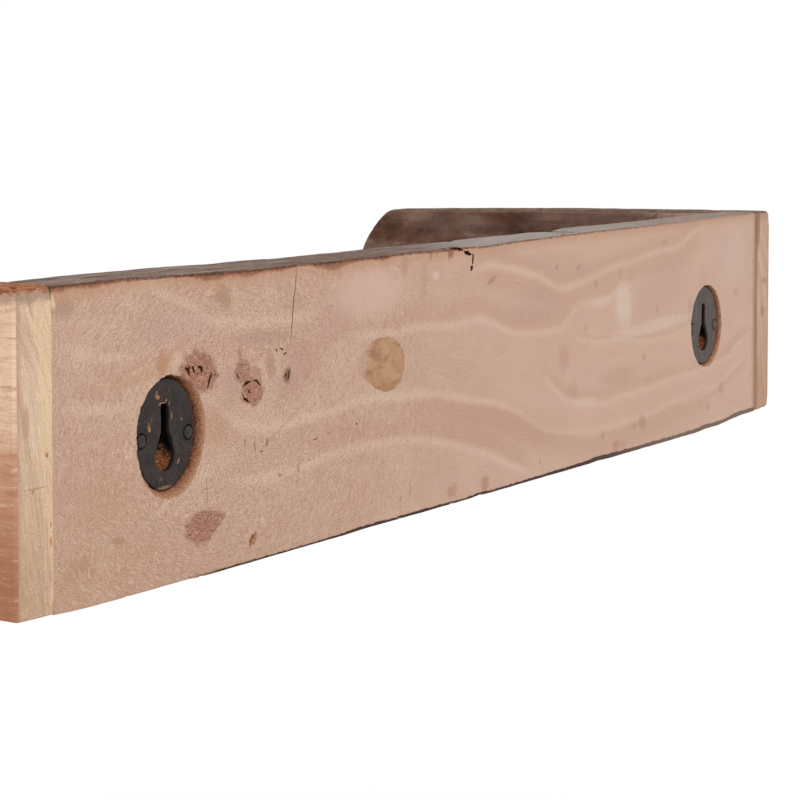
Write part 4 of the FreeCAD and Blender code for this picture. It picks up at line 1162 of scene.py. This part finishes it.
def shape_cheek(name, outer_at, material, bottom_radius, sink, seed):
    """Outer_at is 0 where the outer face is at the low end of `along`, and 1 where it is at the high end."""
    start = outer_at * (LENGTH - THICKNESS)
    low = np.array([start, 0, 0])
    high = np.array([start + THICKNESS, HEIGHT, DEPTH])
    points, squares = lattice_box(low, high, (1.5, 3.0), (2.0, 3.0), (2.2, 4.0))
    outer = abs(outer_at * THICKNESS - (points[:, 0] - start)) < THICKNESS / 2
    at_top = smooth(points[:, 1], HEIGHT - 9, HEIGHT - 3)
    at_nose = smooth(points[:, 2], DEPTH - 9, DEPTH - 5)
    side = np.where(outer, 2.6, 0.3 + 2.6 * np.maximum(at_top, at_nose))
    bottom = np.where(outer, bottom_radius, 0.6)
    end = 0.35 + 2.2 * at_top + 1.6 * smooth(points[:, 1], 9, 2)
    low_radii = np.stack([side, bottom, end], axis=1)
    high_radii = np.stack([side, np.full(len(points), 3.0), np.full(len(points), 3.0)], axis=1)
    wear = np.where(outer, 0.12, 0.45) * smooth(points[:, 2], 0.0, 1.0) + 0.1
    wear = wear + 0.8 * smooth(points[:, 1], HEIGHT - 1.5, HEIGHT - 0.2) + 0.5 * smooth(points[:, 2], DEPTH - 1, DEPTH)
    points = bend_to_cheek(round_edges(points, low, high, low_radii, high_radii), sink)
    lift = along_table(points[:, 0], BOTTOM) + 0.2 * bumps(points, (0.1, 0.0, 0.1), seed)
    points[:, 1] += lift * smooth(points[:, 2], 80, 8) * smooth(points[:, 1], 30, 0)
    points[:, 1] -= 0.2 * (1 + bumps(points, (0.16, 0.0, 0.05), seed + 1)) * smooth(points[:, 1], HEIGHT - 26,
                                                                                   HEIGHT - 6)
    made = mesh_of(name, points, squares, [material])
    return weather(made, wear, material, grain=(500, 20, 500), groove=0.6, dent=0.5, seed=float(seed))


right_cheek = shape_cheek("right_cheek_board", 0, right_cheek_material, 1.0, 0.0, 11)
left_cheek = shape_cheek("left_cheek_board", 1, left_cheek_material, 3.0, LEFT_SINK, 17)
print("cheeks:", len(right_cheek.data.polygons), "faces each")

# %% [markdown]
# The shelf board lies between the cheeks, in front of the back board. Only its front edge is worn round.

# %% Shelf board
def shape_shelf_board():
    low, high = shelf_span(SHELF_LOW, SHELF_HIGH)
    points, squares = lattice_box(low, high, (3.0, 1.0), (1.8, 2.5), (3.0, 4.0))
    front = smooth(points[:, 2], high[2] - 12, high[2] - 5)
    low_radii = np.stack([np.full(len(points), 0.25), 0.5 + 2.0 * front, np.full(len(points), 0.3)], axis=1)
    high_radii = np.stack([np.full(len(points), 0.25), 0.5 + 3.5 * front, 2.5 + 1.5 * (points[:, 1] > 10)], axis=1)
    wear = 0.35 + 0.4 * front
    points = round_edges(points, low, high, low_radii, high_radii)
    points[:, 2] -= 0.3 * (1 + bumps(points, (0.05, 0.1, 0.0), 5)) * smooth(points[:, 2], high[2] - 30, high[2])
    made = mesh_of("shelf_board_wood", points, squares, [shelf_material])
    return weather(made, wear, shelf_material, grain=(18, 450, 450), groove=0.7, dent=0.6, seed=23.0)


shelf_board = shape_shelf_board()
print("shelf board:", len(shelf_board.data.polygons), "faces")

# %% [markdown]
# Holes are cut with solid tools, as in a workshop. Most tools here are stacks of rings: a ring is a closed line round
# a middle point, given by how far it reaches at each angle. Rings at rising depths make a cup, whose wall and floor
# can be as rough as a chisel left them. The Boolean modifier gives the cut faces the tool's own material.

# %% Helpers for cutting tools
def ring_solid(name, rings, material, closed=False):
    """Joins rings of equally many points. A closed stack also joins its last ring to its first."""
    rings = np.asarray(rings, float)
    count, size = rings.shape[:2]
    points = rings.reshape(-1, 3)
    steps = count if closed else count - 1
    faces = []
    for step in range(steps):
        here, there = step * size, (step + 1) % count * size
        faces += [(here + k, here + (k + 1) % size, there + (k + 1) % size, there + k) for k in range(size)]
    if not closed:
        points = np.vstack([points, rings[0].mean(axis=0), rings[-1].mean(axis=0)])
        first, last, start = len(points) - 2, len(points) - 1, (count - 1) * size
        faces += [(first, (k + 1) % size, k) for k in range(size)]
        faces += [(last, start + k, start + (k + 1) % size) for k in range(size)]
    return mesh_of(name, points, faces, [material])


def angles_round(count, crowd=0.0):
    """Angles of one turn. The crowd pushes them together towards straight up, where a slot needs them."""
    turn = np.linspace(0, 2 * math.pi, count, endpoint=False) - math.pi / 2
    return turn - crowd * np.sin(turn - math.pi / 2)


def reach_of(inside, angles, furthest=60.0):
    """How far a shape reaches from its middle at each angle, found by halving."""
    near, far = np.zeros(len(angles)), np.full(len(angles), furthest)
    for _ in range(30):
        half = (near + far) / 2
        within = inside(half * np.cos(angles), half * np.sin(angles))
        near, far = np.where(within, half, near), np.where(within, far, half)
    return near


def ring_at(middle, angles, reach, deep):
    reach = np.broadcast_to(reach, angles.shape)
    deep = np.broadcast_to(deep, angles.shape)
    return np.stack([middle[0] + reach * np.cos(angles), middle[1] + reach * np.sin(angles), deep], axis=1)


def carve(board, *tool_sets):
    """Takes sets of tools out of a board, one set after the other. Tools in one set don't touch each other."""
    for tools in tool_sets:
        with bpy.context.temp_override(active_object=tools[0], selected_editable_objects=list(tools)):
            bpy.ops.object.join()
        cut = board.modifiers.new("cut", "BOOLEAN")
        cut.operation, cut.solver, cut.object = "DIFFERENCE", "MANIFOLD", tools[0]
        cut.material_mode = "TRANSFER"
    bake(board)
    for tools in tool_sets:
        bpy.data.objects.remove(tools[0])
    return board


print("helpers for cutting tools are ready")

# %% [markdown]
# Both plates lie in oval hollows that were chopped out by eye: the hollow is wider than the plate, off its centre,
# and its wall is torn. Below the hollow a second pocket gives room for the head of the screw. Its floor was
# never cleaned out, and on one side the wood is chewed up by screws that missed the hole.

# %% Tools: recesses, head room and nail pilots
ENTRY_RADIUS = 6.25
SLOT_HALF = 2.6
ROOM_HALF = ENTRY_RADIUS + 1.2
ROOM_DEPTH = 9.0
RECESS_SHIFT = 1.5


def oval(half_wide, half_tall):
    return lambda x, y: (x / half_wide) ** 2 + (y / half_tall) ** 2 < 1


def recess_tool(name, middle_along, seed, loose):
    """Each row gives a depth, and how far the wall lies out there on the right and at the bottom."""
    shift = RECESS_SHIFT * loose
    middle = (middle_along + shift, PLATE_UP)
    angles = angles_round(150)
    reach = reach_of(oval(PLATE_HALF_WIDTH + 2.3 * loose, PLATE_HALF_HEIGHT + 0.8 * loose), angles)
    least = reach_of(lambda x, y: oval(PLATE_HALF_WIDTH + 0.3, PLATE_HALF_HEIGHT + 0.3)(x + shift, y), angles)
    to_right = 0.3 + 1.6 * np.maximum(np.cos(angles), 0)
    to_bottom = np.maximum(-np.sin(angles), 0) ** 2
    rings = []
    for deep, right, bottom in ((-1.5, 1.5, 2.7), (0.0, 1.15, 2.3), (0.3, 0.95, 1.7), (0.7, 0.6, 1.0),
                                (1.2, 0.25, 0.2), (1.8, -0.05, -0.7), (2.5, -0.4, -0.8), (PLATE_BACK, -0.6, -0.8)):
        wall = reach + loose * (right * to_right + bottom * to_bottom)
        ring = ring_at(middle, angles, wall, deep * 1.5)
        torn = bumps(ring, (0.3, 0.3, 0.5), seed) * 0.6 + bumps(ring, (1.3, 1.3, 1.0), seed + 1) * 0.6
        rings.append(ring_at(middle, angles, np.maximum(wall + torn, least), deep))
    return ring_solid(name, rings, cut_material)


def room_tool(name, middle_along, seed, chewed):
    """The pocket behind the keyhole, from the hollow's floor down. Chewed says how far its floor comes up."""
    middle = (middle_along, HANG_UP - ENTRY_DROP / 2)
    angles = angles_round(96)
    half = ENTRY_DROP / 2
    reach = reach_of(lambda x, y: x ** 2 + np.maximum(abs(y) - half, 0) ** 2 < ROOM_HALF ** 2, angles)
    floor = PLATE_BACK + ROOM_DEPTH
    rings = []
    for share, deep in ((1.0, PLATE_BACK - 0.6), (1.0, PLATE_BACK + 1.5), (0.99, PLATE_BACK + 3), (0.97, floor - 4),
                        (0.94, floor - 2), *[(tenth / 10, floor) for tenth in range(9, 0, -1)]):
        ring = ring_at(middle, angles, reach * share, deep)
        if deep > PLATE_BACK:
            torn = 0.4 * bumps(ring, (0.5, 0.5, 0.3), seed)
            ring = ring_at(middle, angles, reach * share + torn, deep)
        if deep > PLATE_BACK + 2:
            corner = smooth(0.45 * (ring[:, 0] - middle_along) - (ring[:, 1] - (HANG_UP - ENTRY_DROP)), -3.5, 2.5)
            splinters = 0.9 * bumps(ring, (0.5, 1.4, 0.0), seed + 2) + 0.9 * np.abs(bumps(ring, (2.0, 0.5, 0), seed))
            raised = chewed * corner + splinters * (0.3 + 0.7 * corner)
            ring[:, 2] = np.maximum(ring[:, 2] - raised * (deep - PLATE_BACK) / ROOM_DEPTH, PLATE_BACK + 0.4)
        rings.append(ring)
    return ring_solid(name, rings, cut_material)


def round_tool(name, low, high, axis, radius, material, sides=24):
    """A round hole along one of the shelf's axes, from one place to another."""
    angles = np.linspace(0, 2 * math.pi, sides, endpoint=False)
    others = [other for other in range(3) if other != axis]
    rings = []
    for end in (low, high):
        ring = np.empty((sides, 3))
        ring[:, axis] = end[axis]
        ring[:, others[0]] = end[others[0]] + radius * np.cos(angles)
        ring[:, others[1]] = end[others[1]] + radius * np.sin(angles) * (-1 if axis == 1 else 1)
        rings.append(ring)
    return ring_solid(name, rings, material)


print("helpers for recesses, pockets and round holes are ready")

# %% [markdown]
# Both plates get a recess, a pocket and two nail pilots. The left recess was cut more neatly than the right one,
# so its wall stands off the plate by half as much.

# %% Make the recesses, pockets and pilots
PLATE_SIDES = (("right_keyhole_plate", SCREW_ALONG[0], 31, 6.8, 1.0),
               ("left_keyhole_plate", SCREW_ALONG[1], 41, 5.0, 0.5))
recess_tools, room_tools = [], []
for plate_name, middle_along, seed, chewed, loose in PLATE_SIDES:
    recess_tools.append(recess_tool(plate_name + "_recess", middle_along, seed, loose))
    room_tools.append(room_tool(plate_name + "_room", middle_along, seed, chewed))
    for out in (-NAIL_OUT, NAIL_OUT):
        start = (middle_along + out, NAIL_UP, PLATE_BACK - 0.5)
        end = (middle_along + out, NAIL_UP, PLATE_FACE + 15.6)
        room_tools.append(round_tool(plate_name + "_pilot", start, end, 2, 1.2, cut_material, 12))
print("tools:", len(recess_tools), "recesses and", len(room_tools), "pockets and pilots")

# %% [markdown]
# A crack is a V-shaped groove along a line: wide in the middle, and nothing at its ends. The knots on this board
# have broken rims, one hairline crack crosses the face, and one split opens at the top. Chips at the lower edge
# are bites of a lumpy pebble.

# %% Tools: cracks and chips
CRACKS = (
    # the line's places (along, up), half its greatest width, its depth
    (((102, 86.2), (103.4, 84.2), (104.6, 81.8)), 0.8, 1.8), (((103.3, 86.2), (105.2, 84.6)), 0.35, 1.2),
    (((106.3, 85.6), (107.1, 84.2), (107.8, 82.6)), 0.8, 1.6), (((108.9, 81.6), (110.4, 82.8)), 0.35, 1.2),
    (((110, 85.4), (112.9, 84.2), (112, 82)), 0.9, 2), (((118.6, 82.4), (118, 79.5), (116.3, 75.8)), 0.8, 2.6),
    (((122.9, 79.2), (123.8, 80.8)), 0.3, 1), (((104.1, 89.5), (105.2, 90.2)), 0.25, 0.8),
    (((136, 79.6), (136.8, 78.3), (138.1, 77.2)), 0.35, 1.2), (((139.3, 83.3), (140.4, 82.5)), 0.25, 0.7),
    (((140.7, 74), (143, 75.2), (145.8, 75.4)), 0.7, 1.8), (((147.3, 75.6), (150, 75.1), (152.7, 73.2)), 0.55, 1.6),
    (((143.3, 72.4), (144.8, 71.2), (146.4, 70.6)), 0.4, 1.2), (((140.3, 70.4), (142, 68.3), (145.3, 66.7)), 0.6, 1.6),
    (((163.7, 87.1), (165.3, 86)), 0.4, 1.2), (((166.9, 87.2), (169.9, 86)), 0.35, 1.2),
    (((169.5, 84.1), (172.2, 84.9)), 0.4, 1.2), (((169.9, 74.8), (172, 75.8)), 0.5, 2),
    (((172.7, 73), (173.4, 75.2), (174.2, 77.6)), 0.5, 1.8),
    (((179.7, 120.4), (178.6, 112), (177.5, 107.3), (176, 97), (174.4, 87.7)), 0.3, 1.2),
    (((301, 122), (306.5, 121.4), (314.2, 120.2), (317.6, 119)), 1.5, 3),
    (((318.4, 118.7), (321, 118), (325.6, 117)), 1.1, 2.4), (((326.8, 116.8), (327.4, 114), (326.8, 112.2)), 1, 2),
    (((326.6, 111.4), (325.4, 109)), 1.3, 1.8), (((115.4, 26.5), (115.6, 33), (115.3, 39.5)), 0.13, 0.6),
    (((225.3, 48.1), (226.4, 48.3)), 0.5, 0.8), (((152.6, 45.2), (154.6, 45.6)), 0.3, 0.8),
    (((191.6, 45.2), (195.4, 45.6)), 0.25, 0.7), (((187.8, 36.8), (189.4, 37.2)), 0.22, 0.7),
)
BOTTOM_CHIPS = ((65.0, 2.2, 0.9), (112.0, 2.6, 1.2), (307.9, 2.0, 1.3), (334.3, 2.0, 1.2), (262.0, 1.6, 0.8),
                (401.0, 2.4, 0.8), (561.0, 3.0, 1.0), (212.0, 1.4, 0.6))


CRACK_STEP = 0.9
CRACK_TOP = 0.4


def crack_tool(name, line, half_width, depth, material):
    """A V-shaped bar along a line. It starts a little above the face, so that it cuts through cleanly."""
    line = np.array(line)
    lengths = np.concatenate([[0], np.cumsum(np.linalg.norm(np.diff(line, axis=0), axis=1))])
    count = max(7, round(lengths[-1] / CRACK_STEP))
    where = np.linspace(0, lengths[-1], count)
    path = np.stack([np.interp(where, lengths, line[:, 0]), np.interp(where, lengths, line[:, 1])], axis=1)
    chance = np.random.default_rng(len(name) + round(lengths[-1] * 10))
    path += min(0.3 * half_width, 0.25) * chance.normal(size=path.shape)
    ahead = np.gradient(path, axis=0)
    ahead /= np.linalg.norm(ahead, axis=1)[:, None]
    left = np.stack([-ahead[:, 1], ahead[:, 0]], axis=1)
    swell = np.sin(math.pi * (0.04 + 0.92 * where / lengths[-1])) ** 0.6
    wide = half_width * (swell * chance.uniform(0.65, 1.1, count))[:, None]
    top = np.full((count, 1), -CRACK_TOP)
    bottom = (depth * swell)[:, None]
    lift = 1 + CRACK_TOP / depth
    rings = np.stack([np.hstack([path + left * wide * lift, top]), np.hstack([path, bottom]),
                      np.hstack([path - left * wide * lift, top])], axis=1)
    return ring_solid(name, rings, material)


def chip_tool(name, middle, sizes, seed, material):
    """A lumpy pebble: rings from its low end to its high end."""
    angles = np.linspace(0, 2 * math.pi, 18, endpoint=False)
    rings = []
    for step in range(1, 9):
        tilt = math.pi * step / 9
        ring = ring_at((0, 0), angles, math.sin(tilt), -math.cos(tilt))
        ring *= 1 + 0.22 * bumps(ring, (1.3, 1.3, 1.3), seed)[:, None]
        rings.append(ring * np.array(sizes) + np.array(middle))
    return ring_solid(name, rings, material)


print("tables:", len(CRACKS), "cracks and", len(BOTTOM_CHIPS), "chips")

# %% [markdown]
# The putty's outline is given by its corners. The same outline, a hair wider, is the hollow that it fills.

# %% Tools: the putty's hollow
PUTTY_CORNERS = ((-20.0, 1.2), (-17.6, 5.8), (-9.4, 10.4), (0.5, 12.1), (11.5, 9.8), (17.9, 4.2), (18.1, -2.3),
                 (15.7, -8.8), (7.2, -11.9), (-2.0, -10.7), (-9.4, -7.5), (-16.0, -3.6))


def putty_reach(angles):
    corners = np.array(PUTTY_CORNERS)
    around = np.arctan2(corners[:, 1], corners[:, 0])
    order = np.argsort(around)
    far = np.linalg.norm(corners, axis=1)[order]
    around = around[order]
    turns = np.concatenate([around - 2 * math.pi, around, around + 2 * math.pi])
    plain = np.interp((angles + math.pi) % (2 * math.pi) - math.pi, turns, np.tile(far, 3))
    kernel = np.array([1, 2, 3, 2, 1]) / 9
    soft = np.convolve(np.concatenate([plain[-2:], plain, plain[:2]]), kernel, "valid")
    return soft + 0.35 * bumps(np.stack([np.cos(angles) * 9, np.sin(angles) * 9, angles * 0], axis=1), (1, 1, 1), 6)


def putty_rings(widen, deeps):
    angles = angles_round(120)
    return [ring_at(PUTTY_MIDDLE, angles, (putty_reach(angles) + widen) * share, deep) for share, deep in deeps]


print("the putty has", len(PUTTY_CORNERS), "corners")

# %% [markdown]
# The fine tools and the chips are made from their tables. The gouge near the lower edge and the mouth of the split
# in the top edge are the only ones outside the tables.

# %% Make the fine tools
fine_tools = [ring_solid("putty_hollow", putty_rings(0.03, ((1, -0.5), (1, 0.8), (0.97, 1.5), (0.5, 1.5))),
                         cut_material)]
for number, (line, half_width, depth) in enumerate(CRACKS):
    fine_tools.append(crack_tool(f"crack_{number}", line, half_width, depth, crack_dirt_and_shade_material))
GOUGE = ((149.4, 12.2), (147.8, 10.2), (146.2, 8.8), (144.9, 6.8))
fine_tools.append(crack_tool("gouge", GOUGE, 2.1, 1.6, cut_material))
chip_tools = [chip_tool(f"chip_{number}", (along, along_table(along, BOTTOM) - 0.4, -0.2), (wide, tall, 1.6),
                        number, cut_material)
              for number, (along, wide, tall) in enumerate(BOTTOM_CHIPS)]
chip_tools.append(chip_tool("split_mouth", (302.0, 121.6, 1.2), (2.6, 1.1, 5.0), 21, crack_dirt_and_shade_material))
print("tools:", len(fine_tools), "for cracks and putty,", len(chip_tools), "for chips")

# %% [markdown]
# The boards meet on hidden dowels. The measured model says where each dowel is, so its hole is read from there.

# %% Cut the boards
DOWEL_GAP = 0.1


def dowel_tools(names, axis, reach):
    """Holes for one row of dowels. The reach is how far past the dowel's ends the hole goes."""
    tools = []
    for name in names:
        low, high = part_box(name)
        start, end = shelf_span(low, high)
        middle, half = (start + end) / 2, (end - start) / 2
        radius = np.delete(half, axis).max() + DOWEL_GAP
        first, last = middle.copy(), middle.copy()
        first[axis], last[axis] = start[axis] - reach, end[axis] + reach
        tools.append(round_tool(name + "_hole", first, last, axis, radius, cut_material))
    return tools


BACK_DOWELS = [f"{side}_back_dowel_{number}" for side in ("right", "left") for number in (1, 2)]
SHELF_DOWELS = [f"{side}_shelf_dowel_{number}" for side in ("right", "left") for number in (1, 2, 3)]
REAR_DOWELS = [f"rear_dowel_{number}" for number in (1, 2, 3, 4)]

carve(back_board, recess_tools + fine_tools + chip_tools + dowel_tools(BACK_DOWELS, 0, 0.5), room_tools,
      dowel_tools(REAR_DOWELS, 2, 0.5))
carve(shelf_board, dowel_tools(SHELF_DOWELS, 0, 0.5) + dowel_tools(REAR_DOWELS, 2, 0.5))
for side, cheek in (("right", right_cheek), ("left", left_cheek)):
    mine = [name for name in BACK_DOWELS + SHELF_DOWELS if name.startswith(side)]
    carve(cheek, dowel_tools(mine, 0, 0.5))
for board in (back_board, shelf_board, right_cheek, left_cheek):
    print(board.name, len(board.data.polygons), "faces,", len(board.data.materials), "finishes")

# %% [markdown]
# A keyhole plate is one closed band of rings: up the wall of the keyhole, over its edge, out across the face, down
# the bevel of the rim and back along the underside. The face is uneven, as hammered iron is. The nail holes are
# countersunk afterwards, with a tool shaped like the nail.

# %% Keyhole plates
SHOULDER = (SLOT_HALF, ENTRY_DROP - 8.8)
TOUCH_TURN = math.atan2(SHOULDER[1], SHOULDER[0]) - math.acos(ENTRY_RADIUS / math.hypot(*SHOULDER))
PLATE_BEVEL = 0.7
HEAD_RADIUS = 2.85
SHANK_RADIUS = 1.1


def in_keyhole(x, y):
    """True inside the keyhole, whose middle is the middle of its round entry hole."""
    x = abs(x)
    entry = x ** 2 + y ** 2 < ENTRY_RADIUS ** 2
    slot = (x < SLOT_HALF) & (y > 0) & (y < ENTRY_DROP + SLOT_HALF)
    under_tangent = x * math.cos(TOUCH_TURN) + y * math.sin(TOUCH_TURN) < ENTRY_RADIUS
    funnel = under_tangent & (y < SHOULDER[1]) & (y > ENTRY_RADIUS * math.sin(TOUCH_TURN))
    return entry | slot | funnel


def shape_plate(name, middle_along, material, seed):
    middle = (middle_along, HANG_UP - ENTRY_DROP)
    angles = angles_round(220, 0.75)
    lift = PLATE_UP - middle[1]
    inner = reach_of(in_keyhole, angles)
    rough = 0.16 * bumps(ring_at(middle, angles, inner, 0), (0.9, 0.9, 0), seed)
    inner = inner + np.minimum(rough, 0.1)
    outer = reach_of(lambda x, y: oval(PLATE_HALF_WIDTH, PLATE_HALF_HEIGHT)(x, y - lift), angles)
    face, back = PLATE_FACE, PLATE_BACK
    rings = [ring_at(middle, angles, inner, back), ring_at(middle, angles, inner, face + 0.9),
             ring_at(middle, angles, inner + 0.12, face + 0.25)]
    for share in np.linspace(0, 1, 22):
        reach = (inner + 0.45) * (1 - share) + (outer - PLATE_BEVEL - 0.15) * share
        ring = ring_at(middle, angles, reach, face)
        hammered = 0.10 * bumps(ring, (0.22, 0.22, 0), seed + 1) + 0.05 * bumps(ring, (0.6, 0.6, 0), seed + 2)
        rings.append(ring_at(middle, angles, reach, face + 0.12 + hammered))
    worn = 0.1 * bumps(ring_at(middle, angles, outer, 0), (0.5, 0.5, 0), seed + 3)
    rings += [ring_at(middle, angles, outer - PLATE_BEVEL * 0.55 + worn, face + 0.35),
              ring_at(middle, angles, outer - 0.15, face + PLATE_BEVEL + 0.15),
              ring_at(middle, angles, outer - 0.02, face + PLATE_BEVEL + 0.45),
              ring_at(middle, angles, outer - 0.02, back - 0.2), ring_at(middle, angles, outer - 0.2, back)]
    return ring_solid(name, rings, material, closed=True)


def nail_rings(middle, profile, sides=28):
    angles = np.linspace(0, 2 * math.pi, sides, endpoint=False)
    return [ring_at(middle, angles, reach, deep) for reach, deep in profile]


def countersink_tool(middle_along):
    profile = ((HEAD_RADIUS + 0.95, -0.5), (HEAD_RADIUS + 0.5, PLATE_FACE + 0.1),
               (HEAD_RADIUS + 0.25, PLATE_FACE + 0.6), (SHANK_RADIUS + 0.15, PLATE_FACE + 1.75),
               (SHANK_RADIUS + 0.15, PLATE_BACK + 0.5))
    return ring_solid("countersink", nail_rings((middle_along, NAIL_UP), profile), plate_material)


plates = {}
for plate_name, middle_along, seed, *_ in PLATE_SIDES:
    plate_material = plate_materials[plate_name]
    plate = shape_plate(plate_name.replace("keyhole_plate", "iron_plate"), middle_along, plate_material, seed)
    carve(plate, [countersink_tool(middle_along - NAIL_OUT), countersink_tool(middle_along + NAIL_OUT)])
    plates[plate_name] = plate
    print(plate.name, len(plate.data.polygons), "faces")

# %% [markdown]
# The nails are one shape, turned round its own axis and a little battered. A Geometry Nodes tree puts it on a few
# points, each turned at random, so that no two heads look alike. The same tree could nail down a hundred plates.

# %% Geometry Nodes: nails on points
def make_nail_tree():
    tree, ins = new_geometry_tree("Nails on points", Nail="Object", Seed="Int", Material="Material")
    shape = value(tree, "GeometryNodeObjectInfo", {"Object": ins["Nail"]}, "Geometry", transform_space="ORIGINAL")
    turn = value(tree, "FunctionNodeRandomValue", {2: 0, 3: 2 * math.pi, 8: ins["Seed"]}, 1, data_type="FLOAT")
    nails = value(tree, "GeometryNodeInstanceOnPoints", {"Points": ins["Geometry"], "Instance": shape,
                                                         "Rotation": arrow_of(0.0, turn)})
    return finish_tree(tree, nails, ins["Material"])


nails_on_points = make_nail_tree()


def shape_nail():
    profile = [(0.35, -0.575), (1.0, -0.54), (1.6, -0.45), (2.15, -0.26), (2.5, 0.0), (2.58, 0.2), (2.45, 0.4),
               (SHANK_RADIUS, 1.7), (SHANK_RADIUS, 4.5), (SHANK_RADIUS, 8.0), (SHANK_RADIUS, 11.5), (0.15, 14.9)]
    rings = nail_rings((0, 0), profile)
    for ring in rings[:7]:
        ring *= 1 + 0.035 * bumps(ring, (0.7, 0.7, 0.7), 3)[:, None] * np.array([1, 1, 0])
        ring[:, 2] += 0.05 * (1 + bumps(ring, (0.8, 0.8, 0.8), 8))
    template = ring_solid("nail_template", rings, nail_materials["right_keyhole_plate"])
    template.data.transform(Matrix.Translation(-place(0, 0)))
    return template


nail_template = shape_nail()
nails = {}
for plate_name, middle_along, seed, *_ in PLATE_SIDES:
    spots = [place(middle_along + out, NAIL_UP, PLATE_FACE) for out in (-NAIL_OUT, NAIL_OUT)]
    mesh = bpy.data.meshes.new("nail_points")
    mesh.from_pydata(spots, [], [])
    row = add_object(plate_name.replace("keyhole_plate", "plate_nails"), mesh)
    nails[plate_name] = settle(row, nails_on_points, Nail=nail_template, Seed=seed,
                               Material=nail_materials[plate_name])
    print(row.name, len(row.data.polygons), "faces")
bpy.data.objects.remove(nail_template)

# %% [markdown]
# Putty is pressed into a hollow with a flat knife and wiped off. It ends up level with the wood, with faint ridges
# in the direction of the wiping.

# %% Putty
def shape_putty():
    rings = putty_rings(0.0, ((0.3, 1.48), (0.9, 1.48), (0.97, 1.46), (1.0, 0.8), (1.0, 0.12),
                              *[(share, 0.05) for share in (0.98, 0.9, 0.75, 0.6, 0.45, 0.3, 0.15)]))
    for ring in rings[5:]:
        ring[:, 2] += 0.05 * (1 + bumps(ring, (0.07, 0.9, 0.0), 4)) + 0.03 * (1 + bumps(ring, (0.4, 0.4, 0.0), 5))
    return ring_solid("putty_fill", rings[::-1], putty_material)


putty = shape_putty()
print("putty:", len(putty.data.polygons), "faces")

# %% [markdown]
# A finished mesh is smooth on its curves and sharp at its corners. Blender marks the sharp edges by their angle.

# %% Smooth curves, sharp corners
SHARP_ANGLE = math.radians(38)
pieces = [back_board, shelf_board, right_cheek, left_cheek, putty, *plates.values(), *nails.values()]
for piece in pieces:
    piece.data.shade_smooth()
    piece.data.set_sharp_from_angle(angle=SHARP_ANGLE)
print("smoothed", len(pieces), "pieces")

# %% [markdown]
# The studio is plain: a pale floor well below the shelf, a soft key lamp on the camera's left, a weaker fill on its
# right, and a pale sky that only lights. The camera sees white behind the shelf, and so do glossy surfaces. Near
# the middle the floor is real, so that it keeps the shelf's shadow.

# %% Stage
FLOOR_DROP = 0.6
FLOOR_FADE = (0.7, 1.5)
SKY_STRENGTH = 0.565
WHITE = (1, 1, 1, 1)


def seen_directly(tree):
    """1 for what the camera sees, also by way of a mirror or glass, and 0 for light on its way to a surface."""
    ray = node(tree, "ShaderNodeLightPath").outputs
    return highest(*[Value(ray[f"Is {kind} Ray"]) for kind in ("Camera", "Glossy", "Transmission")])


def make_floor(size=30.0):
    material, _ = new_material("pale_floor")
    tree = material.node_tree
    shader, end = tree.nodes["Principled BSDF"], tree.nodes["Material Output"]
    fill(shader, {"Base Color": (0.8, 0.8, 0.8, 1), "Roughness": 0.9})
    away = length(value(tree, "ShaderNodeTexCoord", output="Object"))
    white = value(tree, "ShaderNodeEmission", {"Color": WHITE, "Strength": 1.0})
    fill(end, {"Surface": value(tree, "ShaderNodeMixShader", {0: seen_directly(tree) * fade(away, *FLOOR_FADE),
                                                              1: shader.outputs[0], 2: white})})
    mesh = bpy.data.meshes.new("floor")
    mesh.from_pydata([(-size, -size, 0), (size, -size, 0), (size, size, 0), (-size, size, 0)], [], [(0, 1, 2, 3)])
    mesh.materials.append(material)
    floor = add_object("floor", mesh)
    floor.location = (0, -DEPTH * MM / 2, UNDERSIDE - FLOOR_DROP)


def make_sky(strength):
    world = bpy.data.worlds.new("pale_sky")
    bpy.context.scene.world = world
    world.use_nodes = True
    tree = world.node_tree
    tree.nodes.clear()
    glow = seen_directly(tree) * (1 - strength) + strength
    sky = value(tree, "ShaderNodeBackground", {"Color": WHITE, "Strength": glow})
    node(tree, "ShaderNodeOutputWorld", {"Surface": sky})


def add_lamp(name, where, aim, size, watts):
    light = bpy.data.lights.new(name, "AREA")
    light.shape = "DISK"
    light.size = size
    light.energy = watts
    lamp = add_object(name, light)
    lamp.location = where
    lamp.rotation_euler = turned_to(Vector(aim) - Vector(where))


make_floor()
make_sky(SKY_STRENGTH)
add_lamp("key", (1.9, 1.6, 1.5), (0, -0.05, 0), size=1.3, watts=34)
add_lamp("fill", (-1.6, 1.7, 0.9), (0, -0.05, 0), size=1.6, watts=10)
add_lamp("room_side", (0.3, -2.4, 1.4), (0, -0.2, 0), size=1.6, watts=19)
bpy.context.scene.view_settings.view_transform = "Standard"
print("floor is", round((FLOOR_DROP - UNDERSIDE) / MM), "mm below the hanging screws")

# %% [markdown]
# Last, each piece is tied to the measured model: what it rides on, and which solids it stands for. The dowels stay
# as measured, because nothing on them is worn, and only get their finish.

# %% Tie the pieces to the model
def tie(piece, slot, *nodes):
    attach(piece, "root")
    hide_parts(*nodes)
    print(piece.name, "stands for", ", ".join(nodes))


tie(back_board, "back_wood", "back_board")
tie(shelf_board, "shelf_wood", "shelf_board")
tie(right_cheek, "cheek_wood", "right_cheek")
tie(left_cheek, "cheek_wood", "left_cheek")
tie(putty, "putty", "filler_patch")
for plate_name, plate in plates.items():
    tie(plate, "plate_iron", plate_name)
    nail_name = plate_name.replace("keyhole_plate", "plate_nail_")
    tie(nails[plate_name], "nail_iron", nail_name + "1", nail_name + "2")
for name in BACK_DOWELS + SHELF_DOWELS + REAR_DOWELS:
    dowel = bpy.data.objects[name]
    dowel.data.materials.clear()
    dowel.data.materials.append(dowel_material)
